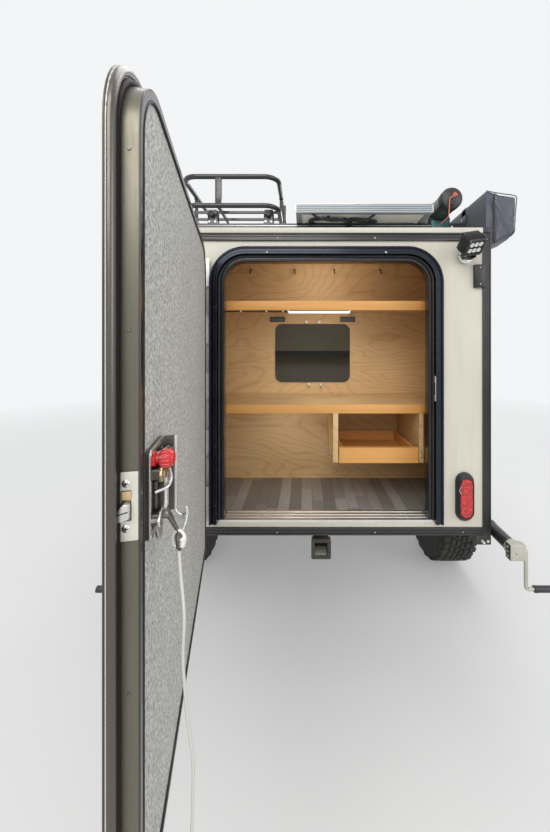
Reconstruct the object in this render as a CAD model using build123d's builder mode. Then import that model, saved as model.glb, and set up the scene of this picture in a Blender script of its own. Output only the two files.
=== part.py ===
from build123d import *
import math
import os

os.makedirs("parts", exist_ok=True)

# Running and seating clearances
SEAT = 0.3
GAP = 6

# Body shell: heights are above the ground, lengths run forward from the rear face
BODY_LENGTH = 2440
BODY_BOTTOM = 629
BODY_TOP = 1888
BODY_HALF = 671
WALL = 30
FLOOR_THICK = 54
FRONT_RADIUS = 700
TOE_RADIUS = 60
TRIM_WIDE = 33
TRIM_THICK = 3
ROOF_LIP = 21

# Rear opening, the frame that stands round it and the door that closes over it
FRAME_HALF = 473
FRAME_TOP = 1806
FRAME_FOOT = 683
FRAME_FLANGE = 31
FRAME_PROUD = 26
FRAME_RADIUS = 145
FRAME_STEPS = ((8, 18, 5), (18, 31, 1.5))
LANDING = 24
LANDING_PROUD = 3
LINER = 4
SILL_THICK = 10
SILL_OUT = 3
SILL_DEEP = 78
DOOR_HALF = 435
DOOR_Z = (630, 1768)
DOOR_RADIUS = 107
DOOR_DEEP = 25
DOOR_RIM = 14
DOOR_SKIN = 8
DOOR_LIP = 20
DOOR_LIP_FOOT = 4
DOOR_CLEAR = 8
DOOR_OPEN = 78.35
HINGE_X = -505
HINGE_BEHIND = 37
HINGE_KNUCKLES = 9
HINGE_RADIUS = 6
HINGE_PIN = 2.6
HINGE_Z = (720, 1760)

# Latch on the inside of the rear door: along the door, height, and how far it stands off
LATCH_S = (822, 913)
LATCH_Z = (1145, 1263)
LATCH_THICK = 4
LATCH_PLATE_Z = (1167, 1250)
LATCH_BAR_S = (822, 832)
LATCH_BAR_OFF = 22
LATCH_RIB_S = (874, 884)
LATCH_RIB_Z = (1176, 1222)
LATCH_RIB_OFF = 18
LATCH_ARM_S = (868, 906)
KNOB_AT = (899, 1250)
KNOB_RADIUS = 9.5
KNOB_NECK = 5.5
KNOB_OFF = (14, 31)
RING_AT = (898, 38, 1138)
RING_RADIUS = 10
RING_WIRE = 2.4

# Galley behind the rear opening
GALLEY_FRONT = 95
BULKHEAD_AT = 457
PLY = 12
BOARD = 18
NOSING_THICK = 20
SHELF_Z = (1562, 1602)
COUNTER_Z = (1109, 1148)
PASS_X = (-256, 166)
PASS_Z = (1200, 1532)
PASS_RADIUS = 45
DIVIDER_X = (38, 58)
CLEAT_X = (416, 434)
DRAWER_X = (63.5, 412)
DRAWER_Z = (891, 959)
DRAWER_DEEP = 340
DRAWER_SIDE = 12
SLIDE_ROOM = 13

# Side doors
SIDE_DOOR_Y = (BODY_LENGTH - 930, BODY_LENGTH - 320)
SIDE_DOOR_Z = (770, 1650)
SIDE_GAP = 7
SIDE_DOOR_RADIUS = 110
SIDE_FLANGE = 6
SIDE_OVERLAP = 18
SIDE_WINDOW = (360, 300)
SIDE_WINDOW_RADIUS = 60
SIDE_WINDOW_Z = 1400
SIDE_HINGE_OUT = 12
SIDE_HINGE_RADIUS = 5
SIDE_HINGE_Z = (950, 1480)
SIDE_HINGE_LONG = 80

# Chassis
RAIL = 50
RAIL_OUT = BODY_HALF - 41
RAIL_FROM = 100
RAIL_TO = BODY_LENGTH - 100
TONGUE_TUBE = 50
TONGUE_FROM = BODY_LENGTH - 540
TONGUE_TO = BODY_LENGTH + 1010
TONGUE_WIDE = BODY_HALF - 111
TONGUE_TIP = 32
BALL_AT = TONGUE_TO + 120
BALL_RADIUS = 25.8
COUPLER_SHELL = 10

# Axle and wheels
AXLE_AT = 922
TYRE_RADIUS = 390
TYRE_WIDE = 220
TYRE_X = BODY_HALF + 145
RIM_RADIUS = 203
RIM_WIDE = 180
DRUM_RADIUS = 115
SPINDLE_RADIUS = 17.7
ARM_LENGTH = 125
TORSION_Z = 480
TORSION = 76
ARM_X = (BODY_HALF - 31, BODY_HALF - 7)
DRUM_BACK = TYRE_X - ARM_X[1] - 11
NUT_CIRCLE = 57

# Fenders
FENDER_HALF = 290
FENDER_FOOT = 440
FENDER_TOP = 862
FENDER_LOW = 665
FENDER_OUT = BODY_HALF + 262
SHEET = 5

# Swivelling rear jacks, stowed level along the body
JACK_X = BODY_HALF + 38.5
JACK_Z = 631
JACK_RADIUS = 25
JACK_BEHIND = 123
JACK_HEAD_DEEP = 28
JACK_TUBE_TO = 400
JACK_FRONT = 440
JACK_PIVOT = 150
JACK_HEAD = 57
CRANK_OUT = JACK_X + 161.5
CRANK_DROP = 145
BRACKET = 5

# Tongue jack and toolbox
TONGUE_JACK_AT = TONGUE_TO - 150
TONGUE_JACK_RADIUS = 28.5
TONGUE_JACK_TOP = 980
TOOLBOX_Y = (BODY_LENGTH + 65, BODY_LENGTH + 560)
TOOLBOX_HALF = 450
TOOLBOX_HIGH = 380
LID_HIGH = 26

# Roof load
RACK_AT = (250, 900, 1550)
RACK_TOP = BODY_TOP + 105
RACK_HIGH = 38
RACK_DEEP = 40
RACK_HALF = BODY_HALF - 11
BASKET_X = (9 - BODY_HALF, 459 - BODY_HALF)
BASKET_Y = (186, 1450)
BASKET_LOW = RACK_TOP + 67
BASKET_HIGH = BASKET_LOW + 135
BASKET_TUBE = 11.5
BASKET_RADIUS = 65
SOLAR_X = (-126, 478)
SOLAR_Y = (101, 1151)
SOLAR_THICK = 37
TUBE_X = BODY_HALF - 111
TUBE_Z = RACK_TOP + 62
TUBE_RADIUS = 46
TUBE_Y = (97, 1650)
AWNING_X = BODY_HALF + 13
AWNING_Y = (47, 2050)

# Places worked out from the sizes above
BODY_INNER = BODY_HALF - WALL
FLOOR_TOP = BODY_BOTTOM + FLOOR_THICK
SILL_TOP = FLOOR_TOP + SILL_THICK
FRAME_INNER = FRAME_HALF - FRAME_FLANGE
OPENING_HALF = FRAME_INNER - LANDING
OPENING_TOP = FRAME_TOP - FRAME_FLANGE - LANDING
OPENING_RADIUS = FRAME_RADIUS - FRAME_FLANGE - LANDING
DOOR_S = (-DOOR_HALF - HINGE_X, DOOR_HALF - HINGE_X)
DOOR_FACE = DOOR_CLEAR - HINGE_BEHIND
DOOR_MIDDLE = DOOR_FACE + DOOR_DEEP
DOOR_OUT = DOOR_MIDDLE + DOOR_SKIN
RAIL_BOTTOM = BODY_BOTTOM - RAIL
TONGUE_BOTTOM = RAIL_BOTTOM - TONGUE_TUBE
NOSE_AT = BALL_AT + BALL_RADIUS + COUPLER_SHELL
OPEN_SIN = math.sin(math.radians(DOOR_OPEN))
OPEN_COS = math.cos(math.radians(DOOR_OPEN))
DOOR_REACH = (DOOR_S[1] + DOOR_LIP) * OPEN_SIN + DOOR_OUT * OPEN_COS + HINGE_BEHIND
# The rear face stands so far back that the origin is below the middle of the whole trailer
REAR = (DOOR_REACH - NOSE_AT) / 2
AXLE_Y = REAR + AXLE_AT


def save(piece, node):
    """Labels a finished piece and writes it."""
    piece.part.label = node
    export_step(piece.part, f"parts/{node}.step")


def block(x, y, z, mode=Mode.ADD):
    """A box between a low and a high limit on each axis."""
    with Locations(((x[0] + x[1]) / 2, (y[0] + y[1]) / 2, (z[0] + z[1]) / 2)):
        Box(x[1] - x[0], y[1] - y[0], z[1] - z[0], mode=mode)


def both(sign, inner, outer):
    """The low and high X of a piece that lies between two distances from the centre line."""
    return (min(sign * inner, sign * outer), max(sign * inner, sign * outer))


def facing_rear(behind):
    """A plane across the trailer, its outside to the rear; behind is counted from the rear face."""
    return Plane(origin=(0, REAR - behind, 0), x_dir=(1, 0, 0), z_dir=(0, -1, 0))


def door_plane(out):
    """The open rear door's own plane: X runs from its hinge, Y is height, and out is outwards."""
    outward = Vector(-OPEN_SIN, -OPEN_COS, 0)
    hinge = Vector(HINGE_X, REAR - HINGE_BEHIND, 0)
    return Plane(origin=hinge + outward * out, x_dir=(OPEN_COS, -OPEN_SIN, 0), z_dir=outward)


def panel(plane, x, z, top=0, bottom=0):
    """A rectangle with its upper and lower corners rounded."""
    with BuildSketch(plane) as outline:
        with Locations(((x[0] + x[1]) / 2, (z[0] + z[1]) / 2)):
            Rectangle(x[1] - x[0], z[1] - z[0])
        if top:
            fillet(outline.vertices().group_by(Axis.Y)[-1], top)
        if bottom:
            fillet(outline.vertices().group_by(Axis.Y)[0], bottom)
    return outline.sketch


def body_outline(plane, inset):
    """The body's side view, drawn in by an inset: square behind, one large curve in front."""
    rear = REAR + inset
    front = REAR + BODY_LENGTH - inset
    top = BODY_TOP - inset
    bottom = BODY_BOTTOM + inset
    large = FRONT_RADIUS - inset
    small = max(TOE_RADIUS - inset, 1)
    with BuildSketch(plane) as outline:
        with BuildLine():
            Polyline((front - small, bottom), (rear, bottom), (rear, top), (front - large, top))
            RadiusArc((front - large, top), (front, top - large), large)
            Line((front, top - large), (front, bottom + small))
            RadiusArc((front, bottom + small), (front - small, bottom), small)
        make_face()
    return outline.sketch


# Chassis rails with the brackets that the rear jacks turn on
with BuildPart() as frame_rails:
    for sign in (-1, 1):
        block(both(sign, RAIL_OUT - RAIL, RAIL_OUT), (REAR + RAIL_FROM, REAR + RAIL_TO),
              (RAIL_BOTTOM, BODY_BOTTOM))
        plate = BODY_HALF + TRIM_THICK
        reach = (REAR + JACK_PIVOT - 45, REAR + JACK_PIVOT + 45)
        block(both(sign, RAIL_OUT - 1, plate + BRACKET), reach, (RAIL_BOTTOM, RAIL_BOTTOM + BRACKET))
        block(both(sign, plate, plate + BRACKET), reach, (RAIL_BOTTOM, JACK_Z + 40))
        with Locations(Plane(origin=(sign * plate, REAR + JACK_PIVOT, JACK_Z), z_dir=(sign, 0, 0))):
            Cylinder(8, 26, align=(Align.CENTER, Align.CENTER, Align.MIN))
save(frame_rails, "frame_rails")

# Crossmembers between the rails
with BuildPart() as frame_cross:
    for at in (RAIL_FROM, AXLE_AT - 25, 1700, RAIL_TO - RAIL):
        block((-(RAIL_OUT - RAIL), RAIL_OUT - RAIL), (REAR + at, REAR + at + RAIL),
              (RAIL_BOTTOM, BODY_BOTTOM))
save(frame_cross, "frame_cross")

# A-frame tongue below the rails, joined at its nose, with the bar that carries the toolbox
with BuildPart() as tongue_frame:
    lean = (TONGUE_WIDE - TONGUE_TIP) / (TONGUE_TO - TONGUE_FROM)
    half = TONGUE_TUBE / 2 * math.hypot(1, lean)
    with BuildSketch(Plane.XY.offset(TONGUE_BOTTOM)):
        for sign in (-1, 1):
            with BuildLine():
                Polyline((sign * (TONGUE_WIDE - half), REAR + TONGUE_FROM),
                         (sign * (TONGUE_WIDE + half), REAR + TONGUE_FROM),
                         (sign * (TONGUE_TIP + half), REAR + TONGUE_TO),
                         (sign * (TONGUE_TIP - half), REAR + TONGUE_TO), close=True)
            make_face()
        with Locations((0, REAR + TOOLBOX_Y[0] + RAIL / 2)):
            Rectangle(2 * (TONGUE_WIDE - lean * (TOOLBOX_Y[0] - TONGUE_FROM)), RAIL)
        with Locations((0, REAR + TONGUE_TO - 35)):
            Rectangle(2 * (TONGUE_TIP + 20), 70)
    extrude(amount=TONGUE_TUBE)
    plate_half = TONGUE_TIP + lean * (TONGUE_TO - TONGUE_JACK_AT) + half
    block((-plate_half, plate_half), (REAR + TONGUE_JACK_AT - 60, REAR + TONGUE_JACK_AT + 60),
          (RAIL_BOTTOM, RAIL_BOTTOM + 6))
    with Locations((0, REAR + TONGUE_JACK_AT, RAIL_BOTTOM)):
        Cylinder(TONGUE_JACK_RADIUS + SEAT, 40, mode=Mode.SUBTRACT)
save(tongue_frame, "tongue_frame")

# Ball coupler on the nose
with BuildPart() as coupler:
    ball = (0, REAR + BALL_AT, TONGUE_BOTTOM + TONGUE_TUBE / 2)
    shell = BALL_RADIUS + COUPLER_SHELL
    block((-shell, shell), (REAR + TONGUE_TO, REAR + BALL_AT), (ball[2] - shell + 4, ball[2] + shell))
    with Locations(ball):
        Cylinder(shell, shell - 4, align=(Align.CENTER, Align.CENTER, Align.MAX))
        Cylinder(shell, shell, align=(Align.CENTER, Align.CENTER, Align.MIN))
        Sphere(BALL_RADIUS, mode=Mode.SUBTRACT)
        Cylinder(BALL_RADIUS, shell + 1, align=(Align.CENTER, Align.CENTER, Align.MAX), mode=Mode.SUBTRACT)
    block((-9, 9), (REAR + TONGUE_TO + 20, REAR + BALL_AT - 10), (ball[2] + shell, ball[2] + shell + 26))
save(coupler, "coupler")

# Tongue jack, standing on its foot plate
with BuildPart() as tongue_jack:
    post = (0, REAR + TONGUE_JACK_AT, 0)
    with Locations(post):
        Box(150, 150, 6, align=(Align.CENTER, Align.CENTER, Align.MIN))
        Cylinder(22, 400, align=(Align.CENTER, Align.CENTER, Align.MIN))
    with Locations((post[0], post[1], 240)):
        Cylinder(TONGUE_JACK_RADIUS, TONGUE_JACK_TOP - 240, align=(Align.CENTER, Align.CENTER, Align.MIN))
    with Locations((post[0], post[1], RAIL_BOTTOM + 6 + SEAT)):
        Cylinder(48, 10, align=(Align.CENTER, Align.CENTER, Align.MIN))
    block((-34, 34), (post[1] - 34, post[1] + 34), (TONGUE_JACK_TOP - 60, TONGUE_JACK_TOP))
    with Locations(Plane(origin=(34, post[1], TONGUE_JACK_TOP - 30), z_dir=(1, 0, 0))):
        Cylinder(8, 46, align=(Align.CENTER, Align.CENTER, Align.MIN))
    block((72, 84), (post[1] - 10, post[1] + 10), (TONGUE_JACK_TOP - 190, TONGUE_JACK_TOP - 20))
    with Locations(Plane(origin=(84, post[1], TONGUE_JACK_TOP - 178), z_dir=(1, 0, 0))):
        Cylinder(13, 95, align=(Align.CENTER, Align.CENTER, Align.MIN))
save(tongue_jack, "tongue_jack")

# Torsion axle beam on its two seats under the rails
with BuildPart() as axle_beam:
    beam_y = AXLE_Y + ARM_LENGTH
    block((-ARM_X[0], ARM_X[0]), (beam_y - TORSION / 2, beam_y + TORSION / 2),
          (TORSION_Z - TORSION / 2, TORSION_Z + TORSION / 2))
    for sign in (-1, 1):
        block(both(sign, RAIL_OUT - RAIL, RAIL_OUT), (beam_y - 60, beam_y + 60),
              (TORSION_Z + TORSION / 2, RAIL_BOTTOM))
save(axle_beam, "axle_beam")

# Trailing arms with their spindles and backing plates
with BuildPart() as axle_arms:
    for sign in (-1, 1):
        inner = Plane(origin=(sign * ARM_X[0], 0, 0), x_dir=(0, 1, 0), z_dir=(sign, 0, 0))
        flip = inner.y_dir.Z
        with BuildSketch(inner):
            for at, high, size in ((AXLE_Y, TYRE_RADIUS, 34), (AXLE_Y + ARM_LENGTH, TORSION_Z, 44)):
                with Locations((at, flip * high)):
                    Circle(size)
            make_hull()
        extrude(amount=ARM_X[1] - ARM_X[0])
        with Locations(Plane(origin=(sign * ARM_X[1], AXLE_Y, TYRE_RADIUS), z_dir=(sign, 0, 0))):
            Cylinder(26, 6, align=(Align.CENTER, Align.CENTER, Align.MIN))
            Cylinder(DRUM_RADIUS + 12, 5, align=(Align.CENTER, Align.CENTER, Align.MIN))
            Cylinder(SPINDLE_RADIUS, 180, align=(Align.CENTER, Align.CENTER, Align.MIN))
save(axle_arms, "axle_arms")

# Wheels: half sections run outwards from the tyre's middle, radius first
for side, sign in (("left", -1), ("right", 1)):
    hub = Plane(origin=(sign * TYRE_X, AXLE_Y, TYRE_RADIUS), x_dir=(0, 0, 1), z_dir=(0, -sign, 0))
    axis = Axis((sign * TYRE_X, AXLE_Y, TYRE_RADIUS), (1, 0, 0))
    outward = 1 if hub.y_dir.X * sign > 0 else -1
    with BuildPart() as tyre:
        with BuildSketch(hub):
            with BuildLine():
                half = TYRE_WIDE / 2
                rows = ((RIM_RADIUS, half - 24), (RIM_RADIUS + 8, half - 12), (RIM_RADIUS + 34, half - 6),
                        (TYRE_RADIUS - 95, half), (TYRE_RADIUS - 45, half - 2), (TYRE_RADIUS - 22, half - 8),
                        (TYRE_RADIUS - 6, half - 18), (TYRE_RADIUS, half - 30))
                points = [(r, w) for r, w in rows] + [(r, -w) for r, w in reversed(rows)]
                Polyline(*points, close=True)
            make_face()
        revolve(axis=axis)
    save(tyre, f"tyre_{side}")
    with BuildPart() as rim:
        with BuildSketch(hub):
            with BuildLine():
                edge = RIM_RADIUS - SEAT
                half = RIM_WIDE / 2
                rows = ((edge, -half), (edge, half), (edge - 12, half), (edge - 16, 62), (edge - 60, 30),
                        (84, 26), (84, 44), (34, 44), (34, 66), (0, 66), (0, 56),
                        (SPINDLE_RADIUS + SEAT, 56), (SPINDLE_RADIUS + SEAT, -DRUM_BACK),
                        (DRUM_RADIUS, -DRUM_BACK), (DRUM_RADIUS, -88), (90, -80), (90, 8), (edge - 60, 14),
                        (edge - 16, 40), (edge - 12, -half))
                Polyline(*[(r, outward * w) for r, w in rows], close=True)
            make_face()
        revolve(axis=axis)
        face = Plane(origin=(sign * (TYRE_X + 44), AXLE_Y, TYRE_RADIUS), z_dir=(sign, 0, 0))
        with BuildSketch(face):
            with PolarLocations(NUT_CIRCLE, 5):
                RegularPolygon(11, 6)
        extrude(amount=14)
    save(rim, f"rim_{side}")

# Fenders over both tyres
with BuildPart() as fenders:
    for sign in (-1, 1):
        plane = Plane(origin=(sign * BODY_HALF, 0, 0), x_dir=(0, 1, 0), z_dir=(1, 0, 0))
        rows = ((-FENDER_FOOT, FENDER_LOW), (-FENDER_HALF, FENDER_TOP),
                (FENDER_HALF, FENDER_TOP), (FENDER_FOOT, FENDER_LOW))
        with BuildSketch(plane):
            with BuildLine():
                outer = [(AXLE_Y + y, z) for y, z in rows]
                inner = [(AXLE_Y + y * (1 - SHEET / FENDER_FOOT), z - SHEET) for y, z in rows[1:3]]
                Polyline(*outer, (outer[3][0] - SHEET, outer[3][1]), inner[1], inner[0],
                         (outer[0][0] + SHEET, outer[0][1]), close=True)
            make_face()
        extrude(amount=sign * (FENDER_OUT - BODY_HALF))
        block(both(sign, FENDER_OUT - SHEET, FENDER_OUT),
              (AXLE_Y - FENDER_HALF + 4, AXLE_Y + FENDER_HALF - 4), (FENDER_TOP - 46, FENDER_TOP - SHEET / 2))
        block(both(sign, BODY_HALF, BODY_HALF + SHEET),
              (AXLE_Y - FENDER_HALF, AXLE_Y + FENDER_HALF), (FENDER_TOP - SHEET, FENDER_TOP + 35))
save(fenders, "fenders")

# Floor between the side walls
with BuildPart() as floor_panel:
    block((-BODY_INNER, BODY_INNER), (REAR + WALL, REAR + BODY_LENGTH - TOE_RADIUS), (BODY_BOTTOM, FLOOR_TOP))
save(floor_panel, "floor_panel")

# Side walls with their door openings
for side, sign in (("left", -1), ("right", 1)):
    inside = Plane.YZ.offset(sign * BODY_INNER)
    with BuildPart() as side_wall:
        extrude(body_outline(inside, 0), amount=sign * WALL)
        extrude(panel(inside, (REAR + SIDE_DOOR_Y[0], REAR + SIDE_DOOR_Y[1]), SIDE_DOOR_Z,
                      SIDE_DOOR_RADIUS, SIDE_DOOR_RADIUS), amount=sign * WALL, mode=Mode.SUBTRACT)
    save(side_wall, f"side_wall_{side}")

# Roof and front as one bent panel
with BuildPart() as roof_panel:
    middle = Plane.YZ.offset(-BODY_INNER)
    extrude(body_outline(middle, 0), amount=2 * BODY_INNER)
    extrude(body_outline(middle, WALL), amount=2 * BODY_INNER, mode=Mode.SUBTRACT)
    block((-BODY_INNER, BODY_INNER), (REAR, REAR + WALL), (BODY_BOTTOM, BODY_TOP - WALL), Mode.SUBTRACT)
    block((-BODY_INNER, BODY_INNER), (REAR, REAR + BODY_LENGTH - TOE_RADIUS),
          (BODY_BOTTOM, BODY_BOTTOM + WALL), Mode.SUBTRACT)
save(roof_panel, "roof_panel")

# Rear wall round the opening
with BuildPart() as rear_wall:
    block((-BODY_INNER, BODY_INNER), (REAR, REAR + WALL), (BODY_BOTTOM, BODY_TOP - WALL))
    opening = panel(facing_rear(0), (-OPENING_HALF - LINER, OPENING_HALF + LINER),
                    (FLOOR_TOP, OPENING_TOP + LINER), OPENING_RADIUS + LINER)
    extrude(opening, amount=-WALL, mode=Mode.SUBTRACT)
save(rear_wall, "rear_wall")

# Corner extrusions round both side profiles and across the rear
with BuildPart() as edge_trims:
    for sign in (-1, 1):
        inside = Plane.YZ.offset(sign * (BODY_HALF + TRIM_THICK - TRIM_WIDE))
        face = Plane.YZ.offset(sign * BODY_HALF)
        extrude(body_outline(inside, -TRIM_THICK), amount=sign * TRIM_WIDE)
        extrude(body_outline(inside, 0), amount=sign * (TRIM_WIDE - TRIM_THICK), mode=Mode.SUBTRACT)
        extrude(body_outline(face, TRIM_WIDE), amount=sign * TRIM_THICK, mode=Mode.SUBTRACT)
    across = (-(BODY_HALF + TRIM_THICK - TRIM_WIDE) - 1, BODY_HALF + TRIM_THICK - TRIM_WIDE + 1)
    block(across, (REAR - TRIM_THICK, REAR), (BODY_BOTTOM, BODY_BOTTOM + TRIM_WIDE))
    block(across, (REAR - TRIM_THICK, REAR), (BODY_TOP - ROOF_LIP - TRIM_WIDE, BODY_TOP - ROOF_LIP))
save(edge_trims, "edge_trims")

# Rear door frame: a proud flange, the landing inside it and the liner through the wall
with BuildPart() as rear_frame:
    inner_top = FRAME_TOP - FRAME_FLANGE
    inner_radius = FRAME_RADIUS - FRAME_FLANGE
    foot = SILL_TOP + SEAT
    extrude(panel(facing_rear(0), (-FRAME_HALF, FRAME_HALF), (FRAME_FOOT, FRAME_TOP), FRAME_RADIUS),
            amount=FRAME_PROUD)
    extrude(panel(facing_rear(0), (-FRAME_INNER, FRAME_INNER), (FRAME_FOOT, inner_top), inner_radius),
            amount=FRAME_PROUD, mode=Mode.SUBTRACT)
    for near, far, deep in FRAME_STEPS:
        with BuildSketch(facing_rear(FRAME_PROUD)) as step:
            add(panel(facing_rear(FRAME_PROUD), (near - FRAME_HALF, FRAME_HALF - near),
                      (FRAME_FOOT - 60, FRAME_TOP - near), FRAME_RADIUS - near))
            add(panel(facing_rear(FRAME_PROUD), (far - FRAME_HALF, FRAME_HALF - far),
                      (FRAME_FOOT - 60, FRAME_TOP - far), FRAME_RADIUS - far), mode=Mode.SUBTRACT)
        extrude(step.sketch, amount=-deep, mode=Mode.SUBTRACT)
    extrude(panel(facing_rear(0), (-FRAME_INNER, FRAME_INNER), (foot, inner_top), inner_radius),
            amount=LANDING_PROUD)
    extrude(panel(facing_rear(0), (-OPENING_HALF - LINER, OPENING_HALF + LINER), (foot, OPENING_TOP + LINER),
                  OPENING_RADIUS + LINER), amount=-WALL - 2)
    extrude(panel(facing_rear(LANDING_PROUD), (-OPENING_HALF, OPENING_HALF), (FRAME_FOOT, OPENING_TOP),
                  OPENING_RADIUS), amount=-WALL - LANDING_PROUD - 2, mode=Mode.SUBTRACT)
save(rear_frame, "rear_frame")

# Ribbed threshold plate across the bottom of the opening
with BuildPart() as threshold:
    wide = OPENING_HALF + LINER - SEAT
    block((-FRAME_INNER + SEAT, FRAME_INNER - SEAT), (REAR - SILL_OUT, REAR), (FLOOR_TOP, SILL_TOP))
    block((-wide, wide), (REAR, REAR + SILL_DEEP), (FLOOR_TOP, SILL_TOP - 3))
    for at in (0, 22, 44, 68):
        block((-wide, wide), (REAR + at, REAR + at + 10), (FLOOR_TOP, SILL_TOP))
save(threshold, "threshold")

# Plywood bulkhead with its pass-through
with BuildPart() as bulkhead:
    block((-BODY_INNER + SEAT, BODY_INNER - SEAT), (REAR + BULKHEAD_AT, REAR + BULKHEAD_AT + PLY),
          (FLOOR_TOP, BODY_TOP - WALL))
    extrude(panel(facing_rear(-BULKHEAD_AT), PASS_X, PASS_Z, PASS_RADIUS, PASS_RADIUS),
            amount=-PLY, mode=Mode.SUBTRACT)
save(bulkhead, "bulkhead")

# Upper shelf with its front nosing
with BuildPart() as galley_shelf:
    wide = (-BODY_INNER + SEAT, BODY_INNER - SEAT)
    front = REAR + GALLEY_FRONT
    block(wide, (front, front + NOSING_THICK), SHELF_Z)
    block(wide, (front, REAR + BULKHEAD_AT), (SHELF_Z[1] - BOARD, SHELF_Z[1]))
save(galley_shelf, "galley_shelf")

# Counter with its nosing, and the divider and cleat that carry the drawer
with BuildPart() as galley_counter:
    block(wide, (front, front + NOSING_THICK), COUNTER_Z)
    block(wide, (front, REAR + BULKHEAD_AT), (COUNTER_Z[1] - BOARD, COUNTER_Z[1]))
    for x in (DIVIDER_X, CLEAT_X):
        block(x, (front, REAR + BULKHEAD_AT), (DRAWER_Z[0] + 2, COUNTER_Z[1] - BOARD))
save(galley_counter, "galley_counter")

# Drawer: its front, its open box and the runners on its sides
slide_z = (DRAWER_Z[0] + DRAWER_Z[1]) / 2
with BuildPart() as drawer:
    box_x = (DIVIDER_X[1] + SLIDE_ROOM, CLEAT_X[0] - SLIDE_ROOM)
    back = front + DRAWER_DEEP
    block(DRAWER_X, (front, front + BOARD), DRAWER_Z)
    block(box_x, (front + BOARD, back), (DRAWER_Z[0] + 6, DRAWER_Z[1] - 8))
    block((box_x[0] + DRAWER_SIDE, box_x[1] - DRAWER_SIDE), (front + BOARD, back - DRAWER_SIDE),
          (DRAWER_Z[0] + 12, DRAWER_Z[1]), Mode.SUBTRACT)
    for low in (box_x[0] - 9, box_x[1]):
        block((low, low + 9), (front + BOARD + 20, back), (slide_z - 10, slide_z + 10))
save(drawer, "drawer")

# Fixed slide channels on the divider and the cleat
with BuildPart() as drawer_slides:
    along = (front + BOARD + 14, REAR + BULKHEAD_AT - 4)
    for near, far in ((DIVIDER_X[1], 1), (CLEAT_X[0], -1)):
        block((min(near, near + far * 11), max(near, near + far * 11)), along, (slide_z - 14, slide_z + 14))
        block((min(near + far * 3, near + far * 12), max(near + far * 3, near + far * 12)),
              (along[0] - 1, along[1] + 1), (slide_z - 10 - SEAT, slide_z + 10 + SEAT), Mode.SUBTRACT)
save(drawer_slides, "drawer_slides")

# Light bar under the shelf
with BuildPart() as light_bar:
    block((-161, 112), (front + 2, front + 18), (SHELF_Z[0] - 12, SHELF_Z[0]))
save(light_bar, "light_bar")

# Oval tail lamps on the rear wall
with BuildPart() as tail_lamps:
    for sign in (-1, 1):
        for long, wide, proud in ((197, 74, 7), (165, 57, 22)):
            with BuildSketch(facing_rear(0)):
                with Locations((sign * (BODY_HALF - 105), BODY_BOTTOM + 160)):
                    SlotOverall(long, wide, rotation=90)
            extrude(amount=proud)
save(tail_lamps, "tail_lamps")

# Cube work lamp on its round foot, tipped down and outwards
LAMP_AT = (BODY_HALF - 103, BODY_TOP - 121)
with BuildPart() as work_lamp:
    with BuildSketch(facing_rear(0)):
        with Locations(LAMP_AT):
            Circle(27)
    extrude(amount=10)
    with BuildSketch(facing_rear(0)):
        with Locations((LAMP_AT[0], LAMP_AT[1] + 6)):
            Rectangle(26, 26)
    extrude(amount=60)
    with Locations(Location((LAMP_AT[0] - 6, REAR - 70, LAMP_AT[1] + 36), (24, 0, 14))):
        Box(84, 66, 78)
save(work_lamp, "work_lamp")

# Roof rack: three bars on feet, the awning's hangers, the water tube's saddles and a short post
with BuildPart() as roof_rack:
    for at in RACK_AT:
        y = (REAR + at - RACK_DEEP / 2, REAR + at + RACK_DEEP / 2)
        block((-RACK_HALF, AWNING_X - SEAT), y, (RACK_TOP - RACK_HIGH, RACK_TOP))
        for sign in (-1, 1):
            block(both(sign, RACK_HALF - 64, RACK_HALF - 20), y, (BODY_TOP, RACK_TOP - RACK_HIGH))
        block((AWNING_X - SEAT - 5, AWNING_X - SEAT), (y[0] - 10, y[1] + 10),
              (RACK_TOP - 78, RACK_TOP + 37))
        block((TUBE_X - 56, TUBE_X + 50), (REAR + at - 18, REAR + at + 18), (RACK_TOP, RACK_TOP + 27))
    with Locations((BASKET_X[1] + 26, REAR + RACK_AT[0], RACK_TOP)):
        Cylinder(7.5, 92, align=(Align.CENTER, Align.CENTER, Align.MIN))
    with BuildSketch(facing_rear(-TUBE_Y[1])):
        with Locations((TUBE_X, TUBE_Z)):
            Circle(TUBE_RADIUS + SEAT)
    extrude(amount=TUBE_Y[1] - TUBE_Y[0], mode=Mode.SUBTRACT)
save(roof_rack, "roof_rack")

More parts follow.
